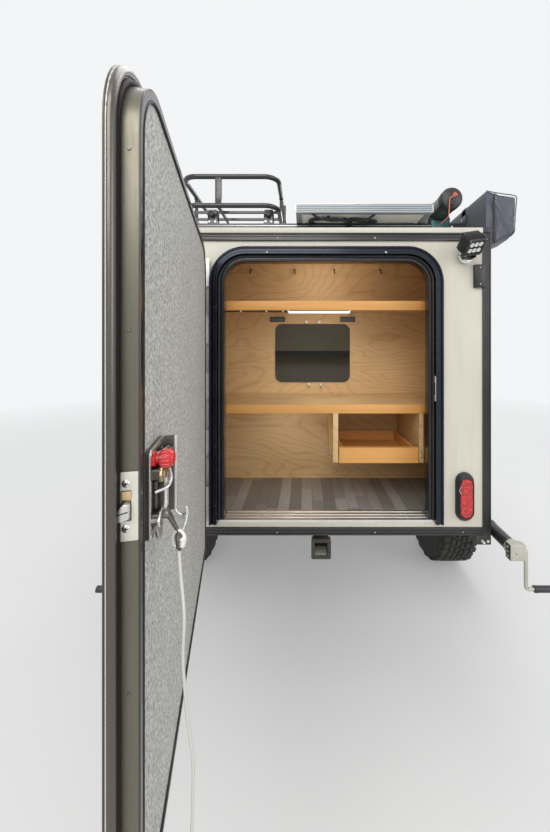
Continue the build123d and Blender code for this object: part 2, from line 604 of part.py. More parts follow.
# Tube basket: two rings, posts, floor bars and clamps
with BuildPart() as roof_basket:
    y = (REAR + BASKET_Y[0], REAR + BASKET_Y[1])
    for high in (BASKET_LOW, BASKET_HIGH):
        with BuildLine(Plane.XY.offset(high)) as ring:
            FilletPolyline((BASKET_X[0], y[0]), (BASKET_X[1], y[0]), (BASKET_X[1], y[1]),
                           (BASKET_X[0], y[1]), close=True, radius=BASKET_RADIUS)
        with BuildSketch(Plane(origin=ring.line @ 0, z_dir=ring.line % 0)):
            Circle(BASKET_TUBE)
        sweep(path=ring.line)
    for x, at in ((BASKET_X[0] + 173, BASKET_Y[0]), (BASKET_X[0] + 277, BASKET_Y[1]), (BASKET_X[0], 400), (BASKET_X[0], 800),
                  (BASKET_X[0], 1240), (BASKET_X[1], 400), (BASKET_X[1], 800), (BASKET_X[1], 1240)):
        with Locations((x, REAR + at, BASKET_LOW)):
            Cylinder(9, BASKET_HIGH - BASKET_LOW, align=(Align.CENTER, Align.CENTER, Align.MIN))
    for step in range(13):
        at = REAR + 266 + 89 * step
        block((BASKET_X[0] - 4, BASKET_X[1] + 4), (at - 7, at + 7), (BASKET_LOW - 5, BASKET_LOW + 5))
    block((BASKET_X[0] + 163, BASKET_X[0] + 177), (y[0], y[1]), (BASKET_LOW - 5, BASKET_LOW + 5))
    for at in RACK_AT[:2]:
        for x in (BASKET_X[0] + 132, BASKET_X[1] - 49):
            block((x - 20, x + 20), (REAR + at - 18, REAR + at + 18), (RACK_TOP, BASKET_LOW))
save(roof_basket, "roof_basket")

# Solar panel on the rack
with BuildPart() as solar_panel:
    y = (REAR + SOLAR_Y[0], REAR + SOLAR_Y[1])
    block(SOLAR_X, y, (RACK_TOP, RACK_TOP + SOLAR_THICK))
    block((SOLAR_X[0] + 3, SOLAR_X[1] - 3), (y[0] + 3, y[1] - 3), (RACK_TOP + 3, RACK_TOP + SOLAR_THICK - 5),
          Mode.SUBTRACT)
    block((SOLAR_X[0] + 25, SOLAR_X[1] - 25), (y[0] + 25, y[1] - 25), (RACK_TOP, RACK_TOP + 3), Mode.SUBTRACT)
save(solar_panel, "solar_panel")

# Water tube with its end caps
with BuildPart() as water_tube:
    with BuildSketch(facing_rear(-TUBE_Y[1])):
        with Locations((TUBE_X, TUBE_Z)):
            Circle(TUBE_RADIUS)
    extrude(amount=TUBE_Y[1] - TUBE_Y[0])
save(water_tube, "water_tube")

# Rolled awning in its bag, along the right side
with BuildPart() as awning_bag:
    with BuildSketch(facing_rear(-AWNING_Y[1])):
        with BuildLine():
            Polyline(*[(AWNING_X + x, RACK_TOP + z)
                       for x, z in ((0, 77), (138, 56), (127, -114), (19, -165), (0, -143))], close=True)
        make_face()
    extrude(amount=AWNING_Y[1] - AWNING_Y[0])
save(awning_bag, "awning_bag")

# Toolbox on the tongue
with BuildPart() as toolbox:
    y = (REAR + TOOLBOX_Y[0], REAR + TOOLBOX_Y[1])
    block((-TOOLBOX_HALF, TOOLBOX_HALF), y, (RAIL_BOTTOM, RAIL_BOTTOM + TOOLBOX_HIGH))
    block((-TOOLBOX_HALF + 3, TOOLBOX_HALF - 3), (y[0] + 3, y[1] - 3),
          (RAIL_BOTTOM + 3, RAIL_BOTTOM + TOOLBOX_HIGH), Mode.SUBTRACT)
save(toolbox, "toolbox")

# Toolbox lid, hinged along its rear edge
with BuildPart() as toolbox_lid:
    low = RAIL_BOTTOM + TOOLBOX_HIGH + SEAT
    block((-TOOLBOX_HALF - 9, TOOLBOX_HALF + 9), (y[0] - 4, y[1] + 9), (low, low + 3))
    for sign in (-1, 1):
        block(both(sign, TOOLBOX_HALF + 6, TOOLBOX_HALF + 9), (y[0], y[1] + 9), (low - LID_HIGH, low + 1))
    block((-TOOLBOX_HALF - 9, TOOLBOX_HALF + 9), (y[1] + 6, y[1] + 9), (low - LID_HIGH, low + 1))
    with Locations(Plane(origin=(0, y[0] - 4, low + 1.5), z_dir=(1, 0, 0))):
        Cylinder(4, 2 * TOOLBOX_HALF - 40)
save(toolbox_lid, "toolbox_lid")

# Rear door: outer skin with its lip
with BuildPart() as rear_door_skin:
    extrude(panel(door_plane(DOOR_MIDDLE), (DOOR_S[0] - DOOR_LIP, DOOR_S[1] + DOOR_LIP),
                  (DOOR_Z[0] - DOOR_LIP_FOOT, DOOR_Z[1] + DOOR_LIP), DOOR_RADIUS + DOOR_LIP, 6), amount=DOOR_SKIN)
save(rear_door_skin, "rear_door_skin")

# Rear door: extruded rim, with the latch plate on its free edge
with BuildPart() as rear_door_rim:
    extrude(panel(door_plane(DOOR_FACE), DOOR_S, DOOR_Z, DOOR_RADIUS, 4), amount=DOOR_DEEP)
    extrude(panel(door_plane(DOOR_FACE), (DOOR_S[0] + DOOR_RIM, DOOR_S[1] - DOOR_RIM),
                  (DOOR_Z[0] + DOOR_RIM, DOOR_Z[1] - DOOR_RIM), DOOR_RADIUS - DOOR_RIM),
            amount=DOOR_DEEP, mode=Mode.SUBTRACT)
    extrude(panel(door_plane(DOOR_FACE), (DOOR_S[1], DOOR_S[1] + 1.5), LATCH_PLATE_Z), amount=DOOR_DEEP)
save(rear_door_rim, "rear_door_rim")

# Rear door: inner panel inside the rim
with BuildPart() as rear_door_panel:
    inset = DOOR_RIM + SEAT
    extrude(panel(door_plane(DOOR_FACE + 2), (DOOR_S[0] + inset, DOOR_S[1] - inset),
                  (DOOR_Z[0] + inset, DOOR_Z[1] - inset), DOOR_RADIUS - inset), amount=DOOR_DEEP - 2)
save(rear_door_panel, "rear_door_panel")

# Rear door latch on the inside: its pan, its bars and knob, and the ring that the cord hangs from
with BuildPart() as rear_door_latch:
    foot = door_plane(DOOR_FACE + 2)
    extrude(panel(foot, LATCH_S, LATCH_Z, 8, 8), amount=-2 - LATCH_THICK)
    extrude(panel(door_plane(DOOR_FACE), (LATCH_BAR_S[1] + 8, LATCH_S[1] - 8), (LATCH_Z[0] + 10, LATCH_Z[1] - 10),
                  6, 6), amount=-LATCH_THICK, mode=Mode.SUBTRACT)
    extrude(panel(foot, LATCH_BAR_S, (LATCH_Z[0] + 3, LATCH_Z[1] - 1), 3, 3), amount=-2 - LATCH_BAR_OFF)
    extrude(panel(foot, LATCH_RIB_S, LATCH_RIB_Z, 3, 3), amount=-2 - LATCH_RIB_OFF)
    for low, high, off in ((1162, 1178, 14), (1222, 1238, 17)):
        extrude(panel(foot, LATCH_ARM_S, (low, high), 4, 4), amount=-2 - off)
    extrude(panel(door_plane(DOOR_FACE - LATCH_BAR_OFF + 4), (LATCH_BAR_S[0], LATCH_RIB_S[1]), (1236, 1250), 3, 3),
            amount=-3)
    extrude(panel(foot, (LATCH_RIB_S[1] - 4, LATCH_RIB_S[1]), (1230, 1250)), amount=-2 - LATCH_BAR_OFF + 1)
    for radius, low, high in ((KNOB_NECK, -2, KNOB_OFF[0]), (KNOB_RADIUS, *KNOB_OFF)):
        place = door_plane(DOOR_FACE - low)
        with Locations(Plane(origin=place.from_local_coords((*KNOB_AT, 0)), x_dir=place.x_dir, z_dir=-place.z_dir)):
            Cylinder(radius, high - low, align=(Align.CENTER, Align.CENTER, Align.MIN))
    ring_place = door_plane(DOOR_FACE - RING_AT[1])
    with Locations(Plane(origin=ring_place.from_local_coords((RING_AT[0], RING_AT[2], 0)),
                         x_dir=ring_place.x_dir, z_dir=ring_place.z_dir)):
        Torus(RING_RADIUS, RING_WIRE)
    wire = [door_plane(DOOR_FACE - off).from_local_coords((s, z, 0))
            for s, off, z in ((892, 8, 1170), (893, 24, 1168), (898, RING_AT[1], RING_AT[2] + RING_RADIUS))]
    with BuildLine() as hanger:
        FilletPolyline(*wire, radius=6)
    with BuildSketch(Plane(origin=hanger.line @ 0, z_dir=hanger.line % 0)):
        Circle(RING_WIRE)
    sweep(path=hanger.line)
save(rear_door_latch, "rear_door_latch")

# Rear door's hinge knuckles and outside handle
knuckle = (HINGE_Z[1] - HINGE_Z[0]) / HINGE_KNUCKLES
edge_s = DOOR_S[0] - DOOR_LIP
with BuildPart() as rear_door_fittings:
    for step in range(1, HINGE_KNUCKLES, 2):
        low = HINGE_Z[0] + step * knuckle + 0.5
        extrude(panel(door_plane(-2), (0, edge_s), (low, low + knuckle - 1)), amount=4)
        with Locations((HINGE_X, REAR - HINGE_BEHIND, low)):
            Cylinder(HINGE_RADIUS, knuckle - 1, align=(Align.CENTER, Align.CENTER, Align.MIN))
            Cylinder(HINGE_PIN + SEAT, knuckle - 1, align=(Align.CENTER, Align.CENTER, Align.MIN),
                     mode=Mode.SUBTRACT)
    extrude(panel(door_plane(DOOR_OUT), (LATCH_S[0] - 24, LATCH_S[1]), (1155, 1255), 12, 12), amount=8)
    extrude(panel(door_plane(DOOR_OUT + 8), (LATCH_S[0] - 4, LATCH_S[1] - 20), (1175, 1235), 8, 8), amount=16)
save(rear_door_fittings, "rear_door_fittings")

# Hinge leaves, knuckles and pins that stay on the body
with BuildPart() as fixed_hinges:
    for step in range(0, HINGE_KNUCKLES, 2):
        low = HINGE_Z[0] + step * knuckle + 0.5
        high = low + knuckle - 1
        block((HINGE_X - 3, HINGE_X + 3), (REAR - HINGE_BEHIND, REAR - 14), (low, high))
        block((HINGE_X - 3, -FRAME_HALF), (REAR - 18, REAR - 14), (low, high))
        with Locations((HINGE_X, REAR - HINGE_BEHIND, low)):
            Cylinder(HINGE_RADIUS, high - low, align=(Align.CENTER, Align.CENTER, Align.MIN))
    with Locations((HINGE_X, REAR - HINGE_BEHIND, HINGE_Z[0] + 1)):
        Cylinder(HINGE_PIN, HINGE_Z[1] - HINGE_Z[0] - 2, align=(Align.CENTER, Align.CENTER, Align.MIN))
    for sign in (-1, 1):
        hinge_x = sign * (BODY_HALF + SIDE_HINGE_OUT)
        hinge_y = REAR + SIDE_DOOR_Y[1] + SIDE_OVERLAP + SIDE_HINGE_RADIUS + 1
        for middle in SIDE_HINGE_Z:
            for low in (middle - SIDE_HINGE_LONG / 2, middle + SIDE_HINGE_LONG / 6):
                length = SIDE_HINGE_LONG / 3 - 1
                block(both(sign, BODY_HALF, BODY_HALF + SIDE_HINGE_OUT), (hinge_y - 3, hinge_y + 3),
                      (low, low + length))
                with Locations((hinge_x, hinge_y, low)):
                    Cylinder(SIDE_HINGE_RADIUS, length, align=(Align.CENTER, Align.CENTER, Align.MIN))
            with Locations((hinge_x, hinge_y, middle - SIDE_HINGE_LONG / 2)):
                Cylinder(HINGE_PIN, SIDE_HINGE_LONG - 2, align=(Align.CENTER, Align.CENTER, Align.MIN))
save(fixed_hinges, "fixed_hinges")

# Side doors, each with its glass and its fittings
for side, sign in (("left", -1), ("right", 1)):
    y = (REAR + SIDE_DOOR_Y[0] + SIDE_GAP, REAR + SIDE_DOOR_Y[1] - SIDE_GAP)
    z = (SIDE_DOOR_Z[0] + SIDE_GAP, SIDE_DOOR_Z[1] - SIDE_GAP)
    radius = SIDE_DOOR_RADIUS - SIDE_GAP
    over = SIDE_OVERLAP + SIDE_GAP
    door_in = sign * (BODY_INNER + 5)
    flange_in = sign * (BODY_HALF + GAP)
    middle_y = (y[0] + y[1]) / 2
    pane_y = (middle_y - SIDE_WINDOW[0] / 2, middle_y + SIDE_WINDOW[0] / 2)
    pane_z = (SIDE_WINDOW_Z - SIDE_WINDOW[1] / 2, SIDE_WINDOW_Z + SIDE_WINDOW[1] / 2)
    skin = sign * (BODY_HALF + GAP + SIDE_FLANGE)
    with BuildPart() as side_door:
        extrude(panel(Plane.YZ.offset(door_in), y, z, radius, radius), amount=flange_in - door_in)
        extrude(panel(Plane.YZ.offset(flange_in), (y[0] - over, y[1] + over), (z[0] - over, z[1] + over),
                      radius + over, radius + over), amount=skin - flange_in)
        extrude(panel(Plane.YZ.offset(door_in), pane_y, pane_z, SIDE_WINDOW_RADIUS, SIDE_WINDOW_RADIUS),
                amount=skin - door_in, mode=Mode.SUBTRACT)
    save(side_door, f"side_door_{side}")
    with BuildPart() as side_glass:
        inset = panel(Plane.YZ.offset(skin - sign * 16), (pane_y[0] + SEAT, pane_y[1] - SEAT),
                      (pane_z[0] + SEAT, pane_z[1] - SEAT), SIDE_WINDOW_RADIUS - SEAT, SIDE_WINDOW_RADIUS - SEAT)
        extrude(inset, amount=sign * 5)
    save(side_glass, f"side_glass_{side}")
    with BuildPart() as side_fittings:
        extrude(panel(Plane.YZ.offset(skin), (pane_y[0] - 24, pane_y[1] + 24), (pane_z[0] - 24, pane_z[1] + 24),
                      SIDE_WINDOW_RADIUS + 24, SIDE_WINDOW_RADIUS + 24), amount=sign * 6)
        extrude(panel(Plane.YZ.offset(skin), (pane_y[0] + 6, pane_y[1] - 6), (pane_z[0] + 6, pane_z[1] - 6),
                      SIDE_WINDOW_RADIUS - 6, SIDE_WINDOW_RADIUS - 6), amount=sign * 6, mode=Mode.SUBTRACT)
        extrude(panel(Plane.YZ.offset(skin), (y[0] + 16, y[0] + 116), (1140, 1210), 10, 10), amount=sign * 9)
        extrude(panel(Plane.YZ.offset(skin), (y[0] + 34, y[0] + 100), (1158, 1192), 6, 6), amount=sign * 18)
        hinge_x = sign * (BODY_HALF + SIDE_HINGE_OUT)
        hinge_y = REAR + SIDE_DOOR_Y[1] + SIDE_OVERLAP + SIDE_HINGE_RADIUS + 1
        for middle in SIDE_HINGE_Z:
            low = middle - SIDE_HINGE_LONG / 6 + 0.5
            length = SIDE_HINGE_LONG / 3 - 2
            block(both(sign, BODY_HALF + SIDE_HINGE_OUT, BODY_HALF + SIDE_HINGE_OUT + 3),
                  (hinge_y - 46, hinge_y), (low, low + length))
            with Locations((hinge_x, hinge_y, low)):
                Cylinder(SIDE_HINGE_RADIUS, length, align=(Align.CENTER, Align.CENTER, Align.MIN))
                Cylinder(HINGE_PIN + SEAT, length, align=(Align.CENTER, Align.CENTER, Align.MIN),
                         mode=Mode.SUBTRACT)
    save(side_fittings, f"side_fittings_{side}")

# Rear jacks: tube, foot, gear head and crank, turning on the bracket's pin
for side, sign in (("left", -1), ("right", 1)):
    pivot_x = BODY_HALF + TRIM_THICK + BRACKET
    with BuildPart() as rear_jack:
        for front_end, radius, long in ((JACK_TUBE_TO, JACK_RADIUS, JACK_TUBE_TO + JACK_BEHIND - JACK_HEAD_DEEP),
                                        (JACK_FRONT, JACK_RADIUS - 5, 80)):
            with BuildSketch(facing_rear(-front_end)):
                with Locations((sign * JACK_X, JACK_Z)):
                    Circle(radius)
            extrude(amount=long)
        block(both(sign, JACK_X - 28, JACK_X + 28), (REAR + JACK_FRONT, REAR + JACK_FRONT + 6),
              (JACK_Z - 50, JACK_Z + 50))
        block(both(sign, JACK_X - JACK_HEAD / 2, JACK_X + JACK_HEAD / 2),
              (REAR - JACK_BEHIND, REAR - JACK_BEHIND + JACK_HEAD_DEEP), (JACK_Z - JACK_HEAD / 2, JACK_Z + JACK_HEAD / 2))
        block(both(sign, pivot_x + SEAT, JACK_X), (REAR + JACK_PIVOT - 28, REAR + JACK_PIVOT + 28),
              (JACK_Z - 24, JACK_Z + 24))
        with Locations(Plane(origin=(sign * pivot_x, REAR + JACK_PIVOT, JACK_Z), z_dir=(sign, 0, 0))):
            Cylinder(8 + SEAT, 24, align=(Align.CENTER, Align.CENTER, Align.MIN), mode=Mode.SUBTRACT)
        rod_y = REAR - JACK_BEHIND + 16
        with BuildLine() as rod:
            FilletPolyline((sign * (JACK_X + 20), rod_y, JACK_Z), (sign * 748, rod_y, JACK_Z),
                           (sign * 748, rod_y, JACK_Z - CRANK_DROP),
                           (sign * CRANK_OUT, rod_y, JACK_Z - CRANK_DROP), radius=12)
        with BuildSketch(Plane(origin=rod.line @ 0, z_dir=rod.line % 0)):
            Circle(6.5)
        sweep(path=rod.line)
        with Locations(Plane(origin=(sign * 778, rod_y, JACK_Z - CRANK_DROP), z_dir=(sign, 0, 0))):
            Cylinder(12, CRANK_OUT - 778, align=(Align.CENTER, Align.CENTER, Align.MIN))
    save(rear_jack, f"rear_jack_{side}")

# Receiver tube at the rear with its pin hole
RECEIVER_X = -20
RECEIVER_Z = 572
RECEIVER_HALF = 31.75
RECEIVER_BORE = 25.8
PIN_BORE = 8.1
with BuildPart() as receiver:
    x = (RECEIVER_X - RECEIVER_HALF, RECEIVER_X + RECEIVER_HALF)
    z = (RECEIVER_Z - RECEIVER_HALF, RECEIVER_Z + RECEIVER_HALF)
    block(x, (REAR, REAR + RAIL_FROM), z)
    block((x[0] - 7, x[1] + 7), (REAR, REAR + 22), (z[0] - 7, z[1] + 7))
    block((RECEIVER_X - RECEIVER_BORE, RECEIVER_X + RECEIVER_BORE), (REAR, REAR + RAIL_FROM),
          (RECEIVER_Z - RECEIVER_BORE, RECEIVER_Z + RECEIVER_BORE), Mode.SUBTRACT)
    with Locations(Plane(origin=(RECEIVER_X, REAR + 64, RECEIVER_Z), z_dir=(1, 0, 0))):
        Cylinder(PIN_BORE, 4 * RECEIVER_HALF, mode=Mode.SUBTRACT)
save(receiver, "receiver")

# Cord that hangs from the ring, in points chosen by hand: along the door, off its face, height
CORD_RADIUS = 2.2
CORD_POINTS = (
    (898, 38, 1125.2), (898, 40, 1090), (899, 44, 1054), (899, 45.5, 1027), (898, 43.5, 995), (899, 43.5, 966),
    (899, 45.5, 938), (899, 49, 892), (900, 54.5, 857), (901, 57.5, 825), (901, 56.5, 781), (900, 55.2, 738),
    (900, 54.7, 721),
)


def cord_path(points):
    """Straight runs joined by arcs as large as the shorter run of each corner allows."""
    places = [door_plane(DOOR_FACE - off).from_local_coords((s, z, 0)) for s, off, z in points]
    places = [Vector(p) for p in places]
    radii = []
    for before, here, after in zip(places, places[1:], places[2:]):
        turn = math.radians((here - before).get_angle(after - here))
        run = min((here - before).length, (after - here).length)
        radii.append(0.45 * run / math.tan(turn / 2))
    print("cord radii", [round(r) for r in radii])
    return places, radii


places, radii = cord_path(CORD_POINTS)
with BuildPart() as door_cord:
    with BuildLine() as route:
        FilletPolyline(*places, radius=radii)
    with BuildSketch(Plane(origin=route.line @ 0, z_dir=route.line % 0)):
        Circle(CORD_RADIUS)
    sweep(path=route.line)
cord_length = route.wires()[0].length
print("cord length", round(cord_length), "volume share",
      round(door_cord.part.volume / (math.pi * CORD_RADIUS**2 * cord_length), 4))
save(door_cord, "door_cord")

# Knot at the cord's lower end
with BuildPart() as cord_knot:
    with Locations(places[-1] - Vector(0, 0, 5 + SEAT)):
        Cylinder(5.5, 10)
save(cord_knot, "cord_knot")
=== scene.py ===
"""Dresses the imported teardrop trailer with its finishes, trims, soft goods and small parts."""

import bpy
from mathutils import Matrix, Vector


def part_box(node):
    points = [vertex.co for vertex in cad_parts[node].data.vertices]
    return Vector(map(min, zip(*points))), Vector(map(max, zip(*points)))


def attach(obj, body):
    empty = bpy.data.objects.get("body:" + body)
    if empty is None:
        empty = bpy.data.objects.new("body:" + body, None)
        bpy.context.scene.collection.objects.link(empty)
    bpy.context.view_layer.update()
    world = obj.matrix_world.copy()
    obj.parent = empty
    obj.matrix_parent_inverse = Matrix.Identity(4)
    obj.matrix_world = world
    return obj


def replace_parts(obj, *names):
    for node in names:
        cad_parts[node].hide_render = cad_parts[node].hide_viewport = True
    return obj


bl_info = {
    "name": "Teardrop Trailer Dress",
    "version": (1, 0, 0),
    "blender": (4, 5, 0),
    "location": "3D View > Sidebar > Trailer",
    "description": "Finishes, trims, soft goods and small parts over the packed teardrop trailer",
    "category": "Object",
}

from math import atan2, cos, pi, radians, sin, tau

import bmesh
import bpy
from mathutils import Matrix, Vector, noise

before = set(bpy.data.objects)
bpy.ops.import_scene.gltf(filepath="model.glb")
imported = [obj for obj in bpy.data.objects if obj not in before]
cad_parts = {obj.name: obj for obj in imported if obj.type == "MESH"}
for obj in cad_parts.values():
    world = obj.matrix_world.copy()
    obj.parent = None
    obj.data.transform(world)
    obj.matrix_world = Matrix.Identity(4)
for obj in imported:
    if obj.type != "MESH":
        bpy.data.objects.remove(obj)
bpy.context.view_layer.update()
MM = 0.001


def corners(node):
    """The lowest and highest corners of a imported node, in millimetres."""
    return [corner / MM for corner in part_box(node)]


# Driving dimensions, most of them from the frame
REAR, BODY_FOOT = corners("rear_wall")[0].yz
BODY_HALF = corners("side_wall_right")[1].x
BODY_TOP = corners("roof_panel")[1].z
BODY_LONG = 2440
INNER_HALF = BODY_HALF - 30
FRAME_HALF, FRAME_TOP = corners("rear_frame")[1].xz
FRAME_FOOT = corners("rear_frame")[0].z
FRAME_RADIUS = 145
SILL_TOP = corners("threshold")[1].z
TRIM_OUT = corners("edge_trims")[1].x
BULKHEAD = corners("bulkhead")[0].y - REAR
GALLEY_FRONT = 95
RACK_AT = (250, 900, 1550)
RACK_TOP = 1993
HINGE_X, HINGE_BEHIND = -505.0, 37.0
DOOR_OPEN = radians(78.35)
DOOR_FACE = 29.0
SIDES = ((-1, "left"), (1, "right"))
QUARTERS = ((-1, -1), (-1, 1), (1, -1), (1, 1))


def place(origin, a, b, c):
    """A matrix from millimetres along three directions to metres of the scene."""
    rows = [[a[i] * MM, b[i] * MM, c[i] * MM, origin[i] * MM] for i in range(3)]
    return Matrix(rows + [[0, 0, 0, 1]])


# Places on the trailer: across, forward, up; then faces, measured along, up and outwards
BODY = place((0, REAR, 0), (1, 0, 0), (0, 1, 0), (0, 0, 1))
REAR_FACE = place((0, REAR, 0), (1, 0, 0), (0, 0, 1), (0, -1, 0))
ALONG_DOOR = (cos(DOOR_OPEN), -sin(DOOR_OPEN), 0)
INTO_DOOR = (sin(DOOR_OPEN), cos(DOOR_OPEN), 0)
DOOR = place((HINGE_X + DOOR_FACE * INTO_DOOR[0], REAR - HINGE_BEHIND + DOOR_FACE * INTO_DOOR[1], 0),
             ALONG_DOOR, (0, 0, 1), INTO_DOOR)


def side_face(sign):
    """The place of a side wall: forward, up and outwards."""
    return place((sign * BODY_HALF, REAR, 0), (0, 1, 0), (0, 0, 1), (sign, 0, 0))


def tint(name, description, *levels):
    """A colour property whose default is given in screen levels from 0 to 255."""
    parts = [level / 255 for level in levels]
    linear = [v / 12.92 if v <= 0.04045 else ((v + 0.055) / 1.055) ** 2.4 for v in parts]
    return bpy.props.FloatVectorProperty(name=name, description=description, subtype="COLOR",
                                         size=3, min=0, max=1, default=linear)


def length(name, description, metres):
    """A length property."""
    return bpy.props.FloatProperty(name=name, description=description, default=metres, min=0,
                                   subtype="DISTANCE", unit="LENGTH")


class TrailerColours(bpy.types.PropertyGroup):
    """Colours of the trailer's finishes."""
    cream: tint("Cream sheet", "Painted sheet of the body", 205, 201, 187)
    trim: tint("Black trim", "Corner trims of the body", 47, 47, 49)
    frame_blue: tint("Door frame", "Anodised frame of the rear opening", 33, 38, 51)
    bronze: tint("Bronze edge", "Edge strip of the rear door", 108, 105, 92)
    door_panel: tint("Door panel", "Stippled panel inside the rear door", 214, 214, 209)
    birch: tint("Birch", "Light tone of the plywood", 224, 192, 142)
    birch_dark: tint("Birch grain", "Dark tone of the plywood", 168, 122, 74)
    pine: tint("Pine", "Light tone of the nosings", 229, 170, 96)
    pine_dark: tint("Pine grain", "Dark tone of the nosings", 188, 128, 66)
    chassis: tint("Chassis paint", "Satin black of the chassis", 34, 34, 35)
    zinc: tint("Zinc", "Plated steel of the jacks", 190, 188, 177)
    lens_red: tint("Red lens", "Lens of the tail lamps", 205, 10, 14)
    canvas: tint("Awning canvas", "Cloth of the awning's bag", 62, 67, 80)
    tank: tint("Water tube", "Paint of the water tube", 46, 62, 58)
    cord: tint("Cord", "Braided cord of the rear door", 205, 203, 196)
    knob: tint("Knob", "Red knob of the latch", 204, 28, 34)
    floor: tint("Studio floor", "Floor of the stage", 219, 219, 217)


class TrailerSizes(bpy.types.PropertyGroup):
    """Sizes of the dressed pieces."""
    cord_diameter: length("Cord diameter", "Thickness of the cord on the rear door", 0.0044)
    tread_depth: length("Tread depth", "Depth of the tyres' tread", 0.009)
    seal_radius: length("Seal radius", "Radius of the rear opening's bulb seal", 0.0045)
    bag_sag: length("Bag sag", "How far the awning's bag sinks between its straps", 0.012)
    tread_blocks: bpy.props.IntProperty(name="Tread blocks", description="Blocks round each tyre",
                                        default=44, min=12, max=90)


def colour(name):
    """A colour of the property group with full cover."""
    return (*getattr(bpy.context.scene.trailer_colours, name), 1.0)


def size(name):
    """A size of the property group in millimetres."""
    return getattr(bpy.context.scene.trailer_sizes, name) / MM


# Outlines and routes

def span(middle, half):
    """From a half below a middle to a half above it."""
    return middle - half, middle + half


def rounded(a, b, radius, steps=8):
    """A rectangle's outline with round corners: one radius, or one each from lower left on, anticlockwise."""
    radii = [radius] * 4 if isinstance(radius, (int, float)) else radius
    points = []
    ends = ((a[0], b[0], 180), (a[1], b[0], 270), (a[1], b[1], 0), (a[0], b[1], 90))
    for (x, y, start), r in zip(ends, radii):
        r = max(r, 0.01)
        cx = x + r if x == a[0] else x - r
        cy = y + r if y == b[0] else y - r
        for step in range(steps + 1):
            angle = radians(start + 90 * step / steps)
            points.append((cx + r * cos(angle), cy + r * sin(angle)))
    return points


def circle(x, y, radius, steps=24):
    """A circle's outline."""
    return [(x + radius * cos(tau * i / steps), y + radius * sin(tau * i / steps)) for i in range(steps)]


def bend(first, here, last, steps):
    """A round corner from one point to another, drawn towards a third."""
    for step in range(steps + 1):
        t = step / steps
        yield first * (1 - t) ** 2 + here * 2 * t * (1 - t) + last * t * t


def bent(points, radius, steps=4):
    """Straight runs with their corners rounded, for rigid tubes and rods."""
    points = [Vector(p) for p in points]
    route = [points[0]]
    for before, here, after in zip(points, points[1:], points[2:]):
        back, on = before - here, after - here
        reach = min(radius, back.length * 0.49, on.length * 0.49)
        route += bend(here + back.normalized() * reach, here, here + on.normalized() * reach, steps)
    return route + [points[-1]]


def knotted(centre, wide, rise, out, steps):
    """A closed trefoil wound round a centre, across and up, and swaying forwards by its rise."""
    x, y, z = centre
    turns = []
    for step in range(steps):
        t = tau * step / steps
        away = wide + out * cos(3 * t)
        turns.append((x + away * cos(2 * t), y + rise * sin(3 * t), z + away * sin(2 * t)))
    return turns


def to_side(sign=1):
    """Turns an outline given as forward and up, drawn out to a side."""
    return Matrix(((0, 0, sign, 0), (1, 0, 0, 0), (0, 1, 0, 0), (0, 0, 0, 1)))


def to_front(y):
    """Turns an outline given as across and up, drawn out forwards from a place."""
    return Matrix(((1, 0, 0, 0), (0, 0, 1, y), (0, 1, 0, 0), (0, 0, 0, 1)))


